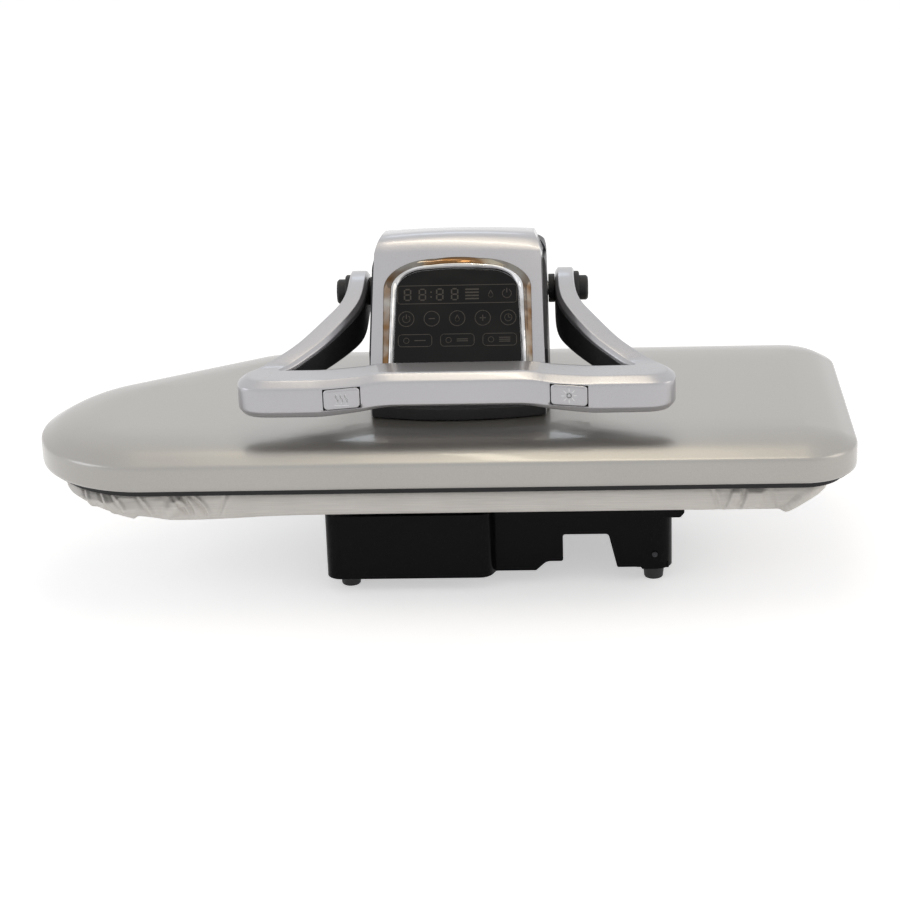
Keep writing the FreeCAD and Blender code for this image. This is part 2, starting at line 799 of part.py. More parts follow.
def make_pivot():
    """Shaft through tower and handle eyes, with a spacer on each side."""
    half = arm_inner_half + arm_width - 1.0
    shaft = rod_x(pivot_pin_radius, arm_offset - half, arm_offset + half, pivot_y, pivot_height)
    save("handle_pivot_shaft", shaft)
    spacers = []
    for side in (-1, 1):
        ends = sorted((arm_offset + side * (tower_half_foot + housing_lip + seat_gap - pivot_wall_draw),
                       arm_offset + side * (arm_inner_half - seat_gap)))
        ring = rod_x(2 * pivot_pin_radius, ends[0], ends[1], pivot_y, pivot_height)
        hole = rod_x(pivot_pin_radius + running_gap, ends[0] - 1, ends[1] + 1, pivot_y, pivot_height)
        spacers.append(ring.cut(hole))
    save("pivot_spacers", Part.makeCompound(spacers))


def base_corners():
    """Plan of the base: tank bay on the left, open bay set back on the right, narrow rear part."""
    rear_half = column_half + base_wall
    step = divider + base_wall
    return [
        (-base_left, -base_front, base_corner),
        (step, -base_front, base_corner),
        (step + base_step, bay_front, 0.0),
        (base_right, bay_front, 14.0),
        (base_right, base_back_of_bays, 10.0),
        (arm_offset + rear_half, base_back_of_bays, 6.0),
        (arm_offset + rear_half, column_back, 12.0),
        (arm_offset - rear_half, column_back, 12.0),
        (arm_offset - rear_half, base_back_of_bays, 6.0),
        (-base_left, base_back_of_bays, 10.0),
    ]


def notch_prism():
    """Cut-out in the front wall of the open bay: raised skirt, then a tall notch."""
    low = foot_height - 1
    notch_right = notch_left + notch_width
    lifted_end = foot_x - foot_radius
    left_edge = foot_height + bay_lift_left
    right_edge = foot_height + bay_lift_right
    corners = [
        (divider + 40.0, low, 0.0),
        (lifted_end, low, 0.0),
        (lifted_end - bay_lift_right, right_edge, bay_lift_right),
        (notch_right + notch_slant, right_edge, 1.5),
        (notch_right, foot_height + notch_height, 3.0),
        (notch_left, foot_height + notch_height, 2.0),
        (notch_left, left_edge, 2.0),
        (divider + 50.0, left_edge, 8.0),
    ]
    return prism(rounded(corners, on_front(bay_front - 1)), Vector(0, base_wall + 2, 0))


def tank_face_slab():
    """Front of the tank with the round corners of the base."""
    step = divider + base_wall
    reach = base_step * tank_face / bay_setback
    corners = [
        (-base_left, -base_front, base_corner),
        (step, -base_front, base_corner),
        (step + reach, tank_front, 0.0),
        (-base_left, tank_front, 0.0),
    ]
    return prism(rounded(corners, on_plan(foot_height)), Vector(0, 0, base_height))


def carrying_lip():
    """Lip along the roof's right edge, to lift the press by."""
    low = base_top - lip_thickness
    edge = 0.4 * lip_thickness
    corners = [
        (base_right - base_wall, low, 0.0),
        (base_right + lip_reach, low, edge),
        (base_right + lip_reach, base_top, edge),
        (base_right - base_wall, base_top, 0.0),
    ]
    run = base_back_of_bays - bay_front - 2 * bay_setback
    return prism(rounded(corners, on_front(bay_front + bay_setback)), Vector(0, run, 0))


def make_base_housing():
    """Black moulded base: roof and walls, tank bay open in front, right bay open below."""
    outline = base_corners()
    outer = prism(rounded(outline, on_plan(foot_height)), Vector(0, 0, base_height))
    inner = prism(rounded(inset_corners(outline, base_wall), on_plan(foot_height - 1)),
                  Vector(0, 0, base_height + 1 - base_wall))
    shell = outer.cut(inner)
    roof = base_top - base_wall
    wall = box(divider, divider + base_wall, -base_front + base_wall, base_back_of_bays - base_wall,
               foot_height, roof)
    back = box(-base_left + base_wall, divider, well_back, well_back + base_wall, foot_height, roof)
    gusset = box(base_right - base_wall - 26.0, base_right - base_wall, bay_front + base_wall,
                 bay_front + base_wall + 26.0, foot_height, foot_height + 5.0)
    shell = shell.multiFuse([wall, back, gusset, carrying_lip()]).removeSplitter()
    open_front = box(-plate_width, divider + base_wall + base_step, -plate_depth, tank_front + seat_gap,
                     0, base_top + 1)
    seal_hole = rod_y(2 * valve_radius, valve_x, well_back - 1, well_back + base_wall + 1, valve_z)
    gland_hole = rod_y(gland_radius, arm_offset + gland_x, column_back - 2 * base_wall, column_back + 1,
                       gland_z)
    save("base_housing", shell.cut(open_front).cut(notch_prism()).cut(seal_hole).cut(gland_hole))


def make_base_bottom():
    """Bottom plates under the tank and under the rear part, and four rubber feet."""
    edge = base_wall
    rear_half = column_half
    under_tank = box(-base_left + edge, divider, tank_front + seat_gap, well_back, foot_height, floor_top)
    under_rear = box(arm_offset - rear_half, arm_offset + rear_half, base_back_of_bays + edge,
                     column_back - 4 * edge, foot_height, floor_top)
    save("bottom_plates", Part.makeCompound([under_tank, under_rear]))
    rear_foot = rear_half - 2 * foot_radius
    places = [
        (-base_left + 2 * foot_radius, -base_front + 2 * foot_radius + 4),
        (foot_x, foot_y),
        (arm_offset - rear_foot, column_back - 3 * foot_radius),
        (arm_offset + rear_foot, column_back - 3 * foot_radius),
    ]
    feet = []
    for x, y in places:
        foot_axis = Vector(0, 0, 1)
        feet.append(Part.makeCone(0.85 * foot_radius, foot_radius, foot_height, Vector(x, y, 0), foot_axis))
    save("rubber_feet", Part.makeCompound(feet))


def make_column():
    """Rear column: a floor plate and two cheeks that carry the hinge shaft."""
    top = hinge_height + knuckle_radius + 4.0
    cheek = [
        (column_front, base_top, 0.0),
        (column_back, base_top, 0.0),
        (column_back, base_top + 22.0, 10.0),
        (hinge_y + knuckle_radius + 4.0, top, knuckle_radius),
        (hinge_y - knuckle_radius - 4.0, top, knuckle_radius),
        (column_front, base_top + 26.0, 10.0),
    ]
    inner = arm_half_rear + 2 * seat_gap
    parts = [box(arm_offset - column_half, arm_offset + column_half, column_front, column_back,
                 base_top, base_top + column_floor)]
    for x in (arm_offset - column_half, arm_offset + inner):
        parts.append(prism(rounded(cheek, on_side(x)), Vector(cheek_thickness, 0, 0)))
    column = parts[0].multiFuse(parts[1:])
    hole = rod_x(hinge_shaft_radius + running_gap, arm_offset - 2 * column_half, arm_offset + 2 * column_half,
                 hinge_y, hinge_height)
    save("rear_column", column.cut(hole))
    floor = base_top + column_floor
    save("column_cover", box(arm_offset - inner, arm_offset + inner, column_back - 5.0, column_back,
                             floor, floor + 14.0))


def make_rear_fittings():
    """Steel chassis under the roof, pump, power board, pump hose and cord inlet."""
    roof = base_top - base_wall
    front, back = base_back_of_bays + 2 * base_wall, column_back - 4 * base_wall
    web_low = roof - chassis_sheet
    web = box(arm_offset - chassis_half, arm_offset + chassis_half, front, back, web_low, roof)
    flanges = []
    for x in (arm_offset - chassis_half, arm_offset + chassis_half - chassis_sheet):
        flanges.append(box(x, x + chassis_sheet, front, back, web_low - chassis_fold, web_low))
    save("chassis", web.multiFuse(flanges).removeSplitter())
    pump_x = arm_offset - 26
    saddle = box(pump_x - 12, pump_x + 12, front + 8, front + 40, floor_top, floor_top + pump_radius)
    pump_axis = floor_top + pump_radius + 1
    motor = rod_y(pump_radius, pump_x, front, front + pump_length, pump_axis)
    save("water_pump", saddle.fuse(motor).removeSplitter())
    pump_back = front + pump_length
    save("pump_hose", rod_y(pump_hose_radius, pump_x, pump_back, column_back - 4 * base_wall, pump_axis))
    board_left = arm_offset + power_board_start
    board_right = board_left + power_board_width
    board_low = floor_top + power_board_lift
    board_high = board_low + board_plate_thickness
    board = box(board_left, board_right, front, front + power_board_depth, board_low, board_high)
    relay = box(board_left + 6, board_left + 24, front + 8, front + 26, board_high, floor_top + 22)
    trafo = box(board_left + 16, board_right - 4, front + 32, front + 52, board_high, floor_top + 26)
    legs = []
    for x in (board_left + 5, board_right - 5):
        for y in (front + 5, front + power_board_depth - 5):
            legs.append(rod_z(3, x, y, floor_top, board_low))
    save("power_board", board.multiFuse([relay, trafo] + legs).removeSplitter())
    x = arm_offset + gland_x
    ring = rod_y(gland_radius, x, column_back - base_wall, column_back, gland_z)
    flange = rod_y(gland_radius + 3, x, column_back, column_back + gland_proud, gland_z)
    bore = rod_y(0.5 * gland_radius, x, column_back - 2 * base_wall, column_back + 2 * gland_proud, gland_z)
    save("cord_gland", ring.fuse(flange).removeSplitter().cut(bore))


def make_tank():
    """Water tank that slides into the left bay from the front, with its filter and valve."""
    def body(inset, low, high):
        corners = [
            (tank_left + inset, tank_front + inset, tank_corner - inset),
            (tank_right - inset, tank_front + inset, tank_corner - inset),
            (tank_right - inset, tank_back - inset, 4.0),
            (tank_left + inset, tank_back - inset, 4.0),
        ]
        return prism(rounded(corners, on_plan(low)), Vector(0, 0, high - low))
    mouth_x = (tank_left + tank_right) / 2
    mouth_y = tank_front + 0.4 * tank_depth
    hollow = body(tank_wall, tank_bottom + tank_wall, tank_top - tank_wall)
    mouth = rod_z(tank_mouth_radius, mouth_x, mouth_y, tank_top - 2 * tank_wall, tank_top + 1)
    port = rod_y(valve_radius, valve_x, tank_back - 2 * tank_wall, tank_back + 1, valve_z)
    outer = body(0.0, tank_bottom, tank_top).fuse(tank_face_slab()).removeSplitter()
    save("water_tank", outer.cut(hollow).cut(mouth).cut(port))
    cup = rod_z(tank_mouth_radius - seat_gap, mouth_x, mouth_y, tank_top - 16.0, tank_top)
    well = rod_z(tank_mouth_radius - 2.0, mouth_x, mouth_y, tank_top - 14.0, tank_top + 1)
    save("tank_filter", cup.cut(well))
    valve_end = well_back + base_wall + 4
    save("tank_valve", rod_y(valve_radius - running_gap, valve_x, tank_back - tank_wall, valve_end, valve_z))
    ring = rod_y(2 * valve_radius - running_gap, valve_x, well_back, well_back + base_wall + 2, valve_z)
    bore = rod_y(valve_radius + seat_gap, valve_x, well_back - 1, well_back + base_wall + 9, valve_z)
    save("tank_seal", ring.cut(bore))


def main():
    """Make every piece and write one STEP file for each."""
    make_upper_shell()
    make_plate_skirt()
    make_soleplate()
    make_heating_element()
    make_steam_chamber()
    make_plate_fittings()
    make_board()
    make_tower()
    make_tower_collar()
    make_control_panel()
    make_arm_frame()
    make_hinge()
    make_steam_hose()
    make_handle()
    make_buttons()
    make_pivot()
    make_base_housing()
    make_base_bottom()
    make_column()
    make_rear_fittings()
    make_tank()
    os.makedirs("parts", exist_ok=True)
    for name, shape in solids.items():
        placed = shape.copy()
        placed.translate(Vector(0, -middle_y, 0))
        placed.exportStep("parts/" + name + ".step")
        size = placed.BoundBox
        print(name, len(placed.Solids), "solids", placed.isValid(), round(placed.Volume), "mm3",
              [round(v, 1) for v in (size.XMin, size.XMax, size.YMin, size.YMax, size.ZMin, size.ZMax)])


main()
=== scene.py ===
"""Steam ironing press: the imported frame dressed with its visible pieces, finishes, cloth and stage."""
import json
import math

import bmesh
import bpy
from mathutils import Matrix, Vector, noise


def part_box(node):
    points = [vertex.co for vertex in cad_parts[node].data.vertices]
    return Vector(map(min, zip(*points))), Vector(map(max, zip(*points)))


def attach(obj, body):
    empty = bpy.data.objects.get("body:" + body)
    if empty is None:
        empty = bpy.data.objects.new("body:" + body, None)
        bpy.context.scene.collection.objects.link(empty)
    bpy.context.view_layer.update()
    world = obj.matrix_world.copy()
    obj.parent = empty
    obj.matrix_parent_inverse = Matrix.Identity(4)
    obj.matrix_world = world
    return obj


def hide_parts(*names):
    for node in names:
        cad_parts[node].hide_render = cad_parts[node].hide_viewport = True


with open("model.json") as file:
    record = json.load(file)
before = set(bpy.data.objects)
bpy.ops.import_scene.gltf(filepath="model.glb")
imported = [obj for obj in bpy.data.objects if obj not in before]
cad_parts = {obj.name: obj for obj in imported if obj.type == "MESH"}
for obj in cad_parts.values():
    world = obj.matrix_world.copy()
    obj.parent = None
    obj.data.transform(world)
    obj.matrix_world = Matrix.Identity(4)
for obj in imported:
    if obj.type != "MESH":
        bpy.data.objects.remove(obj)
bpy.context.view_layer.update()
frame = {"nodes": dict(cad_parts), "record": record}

bl_info = {
    "name": "Steam ironing press",
    "version": (1, 0, 0),
    "blender": (4, 5, 0),
    "location": "View3D > Sidebar > Press",
    "description": "Builds the visible pieces of a table-top steam ironing press on its packed frame",
    "category": "Object",
}

MM = 0.001


def low(node):
    """Lowest corner of a CAD node in millimetres, measured from the middle of the board."""
    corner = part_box(node)[0]
    return Vector((corner[0], corner[1] - MIDDLE_Y, corner[2])) / MM


def high(node):
    """Highest corner of a CAD node in millimetres, measured from the middle of the board."""
    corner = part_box(node)[1]
    return Vector((corner[0], corner[1] - MIDDLE_Y, corner[2])) / MM


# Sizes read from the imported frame, in millimetres from the middle of the board
MIDDLE_Y = (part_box("upper_shell")[0][1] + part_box("upper_shell")[1][1]) / 2
ARM_X = (low("tower_cover").x + high("tower_cover").x) / 2
HALF_LENGTH = high("upper_shell").x
HALF_DEPTH = high("upper_shell").y
RIM_BOTTOM = low("upper_shell").z
PLATE_TOP = high("upper_shell").z
BOARD_BOTTOM = low("board_cover").z
BOARD_TOP = high("board_cover").z
TOWER_TOP = high("tower_cover").z
TOWER_HALF = high("tower_cover").x - ARM_X
PIVOT = (low("pivot_caps") + high("pivot_caps")) / 2
HINGE = (low("hinge_shaft") + high("hinge_shaft")) / 2
BAR_BOTTOM = low("handle_shell").z
HANDLE_FRONT = -low("handle_shell").y
HANDLE_HALF = high("handle_shell").x - ARM_X
BASE_TOP = high("base_housing").z


def tint(name, description, colour):
    """Colour setting of the add-on."""
    return bpy.props.FloatVectorProperty(
        name=name, description=description, default=colour, subtype="COLOR", size=3, min=0.0, max=1.0)


def length(name, description, metres):
    """Length setting of the add-on, in metres."""
    return bpy.props.FloatProperty(
        name=name, description=description, default=metres, unit="LENGTH", subtype="DISTANCE")


class PressColours(bpy.types.PropertyGroup):
    """Colours of the finishes."""

    plate_silver: tint("Plate silver", "Metallic paint of the pressing plate", (0.392, 0.378, 0.358))
    trim_silver: tint("Trim silver", "Lacquer of tower, handle and buttons", (0.442, 0.437, 0.455))
    housing_dark: tint("Housing", "Dark mouldings behind the tower", (0.035, 0.035, 0.040))
    gloss_black: tint("Gloss black", "Base and water tank", (0.0035, 0.0035, 0.004))
    matt_black: tint("Matt black", "Grained black mouldings", (0.016, 0.016, 0.017))
    cloth: tint("Cover cloth", "Metallic coated cotton of the board", (0.79, 0.755, 0.71))
    foam: tint("Foam", "Pad under the cloth", (0.72, 0.68, 0.55))
    marks: tint("Panel marks", "Unlit marks behind the control glass", (0.032, 0.024, 0.016))
    rubber: tint("Rubber", "Feet, seals and gland", (0.012, 0.012, 0.013))
    hose: tint("Hose", "Silicone hoses", (0.55, 0.50, 0.44))
    circuit: tint("Circuit board", "Solder mask of the boards", (0.02, 0.13, 0.05))


class PressSizes(bpy.types.PropertyGroup):
    """Sizes of the dressed pieces."""

    edge: length("Moulding edge", "Radius on the edges of black mouldings", 0.0012)
    cloth_slack: bpy.props.FloatProperty(
        name="Cloth slack", description="Share by which the cover is cut larger than the board's edge",
        default=0.02, min=0.0, max=0.15, subtype="FACTOR")
    cloth_grid: length("Cloth grid", "Distance of the points of the cover", 0.0045)
    thread: length("Thread pitch", "Distance of two threads of the cover cloth", 0.0007)
    chamfer: length("Handle chamfer", "Depth of the slanted edge on top of the handle bar", 0.008)


class Socket:
    """Output of a shader node, so that maths on it is written as Python."""

    def __init__(self, finish, outlet):
        self.finish = finish
        self.outlet = outlet

    def maths(self, operation, first, second):
        """Math node on two values."""
        return self.finish.node("ShaderNodeMath", {"operation": operation}, {0: first, 1: second})

    def __add__(self, other):
        return self.maths("ADD", self, other)

    def __radd__(self, other):
        return self.maths("ADD", other, self)

    def __sub__(self, other):
        return self.maths("SUBTRACT", self, other)

    def __rsub__(self, other):
        return self.maths("SUBTRACT", other, self)

    def __mul__(self, other):
        return self.maths("MULTIPLY", self, other)

    def __rmul__(self, other):
        return self.maths("MULTIPLY", other, self)

    def __truediv__(self, other):
        return self.maths("DIVIDE", self, other)

    def __pow__(self, other):
        return self.maths("POWER", self, other)


class Finish:
    """Material in the making, round one surface shader."""

    def __init__(self, name):
        self.material = bpy.data.materials.new(name)
        self.material.use_nodes = True
        self.tree = self.material.node_tree
        self.surface = self.tree.nodes["Principled BSDF"]

    def feed(self, inlet, value):
        """Link or set one socket."""
        if isinstance(value, Socket):
            self.tree.links.new(value.outlet, inlet)
        else:
            inlet.default_value = value

    def node(self, kind, settings, sockets, outlet=0):
        """New node: its settings first, then the values or links of its sockets."""
        made = self.tree.nodes.new(kind)
        for key, value in settings.items():
            if key == "stops":
                for stop, (place, shade) in zip(made.color_ramp.elements, value):
                    stop.position = place
                    stop.color = (shade, shade, shade, 1.0)
            else:
                setattr(made, key, value)
        for key, value in sockets.items():
            self.feed(made.inputs[key], value)
        return Socket(self, made.outputs[outlet])

    def place(self, stretch=(1.0, 1.0, 1.0), source="Object"):
        """Coordinates on the piece, stretched for brushed or drawn finishes."""
        coordinates = self.node("ShaderNodeTexCoord", {}, {}, source)
        return self.node("ShaderNodeMapping", {}, {"Vector": coordinates, "Scale": stretch})

    def noise(self, scale, detail=2.0, stretch=(1.0, 1.0, 1.0)):
        """Soft noise between about 0.3 and 0.7."""
        return self.node("ShaderNodeTexNoise", {},
                         {"Vector": self.place(stretch), "Scale": scale, "Detail": detail})

    def mask(self, value, start, end):
        """Value cut to 0 below start and 1 above end."""
        return self.node("ShaderNodeMapRange", {"clamp": True},
                         {"Value": value, "From Min": start, "From Max": end})

    def mix(self, share, first, second):
        """Two colours mixed by a share."""
        return self.node("ShaderNodeMix", {"data_type": "RGBA"}, {0: share, 6: first, 7: second}, 2)

    def bump(self, height, distance, strength=1.0):
        """Surface relief of a height field."""
        return self.node("ShaderNodeBump", {}, {"Height": height, "Distance": distance, "Strength": strength})

    def sheets(self, **sockets):
        """Set or link sockets of the surface shader by their names."""
        for key, value in sockets.items():
            self.feed(self.surface.inputs[key.replace("_", " ")], value)
        return self.material


def rgb(colour, share=1.0):
    """Colour setting as a four-number socket value, made lighter or darker."""
    return (colour[0] * share, colour[1] * share, colour[2] * share, 1.0)


def silver_lacquer(name, colour, roughness):
    """Metallic lacquer: fine flake, a little cloudiness and a clear coat with orange peel."""
    coat = Finish(name)
    flake = coat.noise(2600.0, 1.0)
    cloud = coat.noise(9.0, 3.0)
    shade = coat.mask(flake * 0.7 + cloud * 0.3, 0.30, 0.70)
    peel = coat.noise(420.0, 1.0)
    return coat.sheets(
        Base_Color=coat.mix(shade, rgb(colour, 0.90), rgb(colour, 1.09)), Metallic=0.78,
        Roughness=roughness + (cloud - 0.5) * 0.12 + (flake - 0.5) * 0.10,
        Coat_Weight=0.6, Coat_Roughness=0.06, Normal=coat.bump(peel, 0.00005))


def black_gloss(name, colour):
    """Polished black moulding with faint smears."""
    coat = Finish(name)
    smear = coat.noise(26.0, 4.0, (1.0, 1.0, 2.5))
    dust = coat.mask(coat.noise(700.0, 1.0), 0.62, 0.75)
    return coat.sheets(
        Base_Color=coat.mix(dust * 0.35, rgb(colour), rgb(colour, 4.0)),
        Roughness=0.10 + coat.mask(smear, 0.40, 0.70) * 0.14, Specular_IOR_Level=0.07,
        Normal=coat.bump(coat.noise(160.0, 1.0), 0.00006))


def black_grain(name, colour, roughness, pitch):
    """Spark-eroded black moulding, duller in its grain, paler where hands rub it."""
    skin = Finish(name)
    grain = skin.noise(pitch, 2.0)
    rubbed = skin.mask(skin.noise(17.0, 3.0), 0.50, 0.72)
    return skin.sheets(
        Base_Color=skin.mix(rubbed * 0.4, rgb(colour), rgb(colour, 1.6)),
        Roughness=roughness + (grain - 0.5) * 0.25 - rubbed * 0.08, Specular_IOR_Level=0.3,
        Normal=skin.bump(grain, 0.00015))


def chrome_with_painted_reflection(name, light, dark, painted_reflection_share):
    """Plated trim: metal whose base colour carries a painted reflection, darker warm patches that stand in for the
    surroundings it mirrors.
    """
    plate = Finish(name)
    haze = plate.mask(plate.noise(60.0, 4.0), 0.45, 0.70)
    # painted reflection: warm dark patches mixed into the base colour in place of mirrored surroundings
    cloud = plate.mask(plate.noise(38.0, 2.0, (1.0, 1.4, 1.4)), 0.36, 0.62)
    painted_reflection_colour = plate.mix(cloud * painted_reflection_share, light, dark)
    return plate.sheets(
        Base_Color=plate.mix(haze * 0.35, painted_reflection_colour, (0.10, 0.10, 0.10, 1.0)), Metallic=1.0,
        Roughness=0.05 + haze * 0.09, Normal=plate.bump(plate.noise(180.0, 1.0), 0.00005))


def panel_glass(name):
    """Black backed gloss panel with faint wiping marks."""
    pane = Finish(name)
    wipe = pane.mask(pane.noise(34.0, 4.0, (1.0, 2.2, 1.0)), 0.44, 0.72)
    return pane.sheets(
        Base_Color=pane.mix(wipe, (0.0045, 0.0042, 0.0042, 1.0), (0.010, 0.009, 0.008, 1.0)),
        Roughness=0.04 + wipe * 0.10, Specular_IOR_Level=0.16)


def coated_cotton(name, colour, pitch):
    """Plain-woven cotton with an aluminium coating, rubbed thin on the threads' crowns."""
    cloth = Finish(name)
    flat = cloth.node("ShaderNodeSeparateXYZ", {}, {0: cloth.place(source="UV")})
    across = cloth.node("ShaderNodeSeparateXYZ", {}, {0: cloth.place(source="UV")}, 1)
    turn = 2 * math.pi / pitch
    warp = flat.maths("SINE", flat * turn, 0.0)
    weft = across.maths("SINE", across * turn, 0.0)
    weave = warp * weft
    slub = cloth.node("ShaderNodeTexNoise", {},
                      {"Vector": cloth.place((30.0, 900.0, 1.0), "UV"), "Scale": 1.0, "Detail": 2.0})
    worn = cloth.mask(cloth.noise(24.0, 4.0), 0.42, 0.70)
    shade = cloth.mask(weave * 0.12 + slub * 0.7 + worn * 0.12, 0.15, 0.75)
    return cloth.sheets(
        Base_Color=cloth.mix(shade, rgb(colour, 0.86), rgb(colour, 1.08)), Metallic=0.20 + worn * 0.05,
        Roughness=0.52 - worn * 0.06, Sheen_Weight=0.15,
        Normal=cloth.bump(weave * 0.5 + slub, 0.00012))


def foam_pad(name, colour):
    """Open-celled foam."""
    foam = Finish(name)
    cells = foam.node("ShaderNodeTexVoronoi", {}, {"Vector": foam.place(), "Scale": 900.0})
    return foam.sheets(Base_Color=foam.mix(cells, rgb(colour, 0.8), rgb(colour)), Roughness=0.9,
                       Normal=foam.bump(cells, 0.0004))


def drawn_metal(name, colour, roughness, stretch):
    """Sheet, bar or turned metal with the fine lines of its making."""
    metal = Finish(name)
    lines = metal.noise(1.0, 2.0, stretch)
    stain = metal.mask(metal.noise(30.0, 4.0), 0.45, 0.75)
    return metal.sheets(
        Base_Color=metal.mix(stain, rgb(colour), rgb(colour, 0.92)), Metallic=1.0,
        Roughness=roughness + (lines - 0.5) * 0.2 + stain * 0.03, Normal=metal.bump(lines, 0.00006))


def soft_rubber(name, colour):
    """Moulded rubber with a dry bloom."""
    rubber = Finish(name)
    bloom = rubber.mask(rubber.noise(80.0, 3.0), 0.45, 0.70)
    return rubber.sheets(Base_Color=rubber.mix(bloom, rgb(colour), rgb(colour, 1.7)),
                         Roughness=0.62 + bloom * 0.15, Normal=rubber.bump(rubber.noise(900.0), 0.0001))


def circuit_board(name, colour):
    """Solder mask with faint tracks under it."""
    board = Finish(name)
    tracks = board.mask(board.noise(1.0, 0.0, (90.0, 700.0, 700.0)), 0.52, 0.56)
    return board.sheets(Base_Color=board.mix(tracks, rgb(colour), rgb(colour, 2.2)), Roughness=0.35,
                        Normal=board.bump(tracks, 0.00005))


def print_ink(name, colour):
    """Screen-printed ink, a little uneven."""
    ink = Finish(name)
    patch = ink.mask(ink.noise(500.0, 2.0), 0.35, 0.65)
    return ink.sheets(Base_Color=ink.mix(patch, rgb(colour, 0.75), rgb(colour)), Roughness=0.45)


def make_finishes():
    """All finishes by the record's slot names, and those that only the dressed pieces have."""
    tone = bpy.context.scene.press_colours
    size = bpy.context.scene.press_sizes
    return {
        "silver_paint": silver_lacquer("silver_paint", tone.plate_silver, 0.34),
        "silver_plastic": silver_lacquer("silver_plastic", tone.trim_silver, 0.30),
        "gloss_black": black_gloss("gloss_black", tone.gloss_black),
        "matt_black": black_grain("matt_black", tone.matt_black, 0.48, 1500.0),
        "dark_housing": black_grain("dark_housing", tone.housing_dark, 0.42, 1100.0),
        # one chrome plating in two copies, a darker one and a lighter one, each with painted reflection in its
        # colour
        "chrome": chrome_with_painted_reflection("chrome", (0.22, 0.21, 0.19, 1.0), (0.10, 0.055, 0.025, 1.0), 1.0),
        "painted_bright_lip": chrome_with_painted_reflection("painted_bright_lip", (0.74, 0.74, 0.75, 1.0), (0.42, 0.41, 0.40, 1.0), 0.6),
        "panel_glass": panel_glass("panel_glass"),
        "cover_cloth": coated_cotton("cover_cloth", tone.cloth, size.thread),
        "pad_foam": foam_pad("pad_foam", tone.foam),
        "steel": drawn_metal("steel", (0.55, 0.55, 0.56), 0.32, (900.0, 900.0, 60.0)),
        "aluminium": drawn_metal("aluminium", (0.66, 0.66, 0.67), 0.36, (12.0, 1400.0, 1400.0)),
        "brass": drawn_metal("brass", (0.72, 0.52, 0.22), 0.28, (700.0, 700.0, 700.0)),
        "rubber": soft_rubber("rubber", tone.rubber),
        "hose_rubber": soft_rubber("hose_rubber", tone.hose),
        "circuit": circuit_board("circuit", tone.circuit),
        "panel_marks": print_ink("panel_marks", tone.marks),
    }


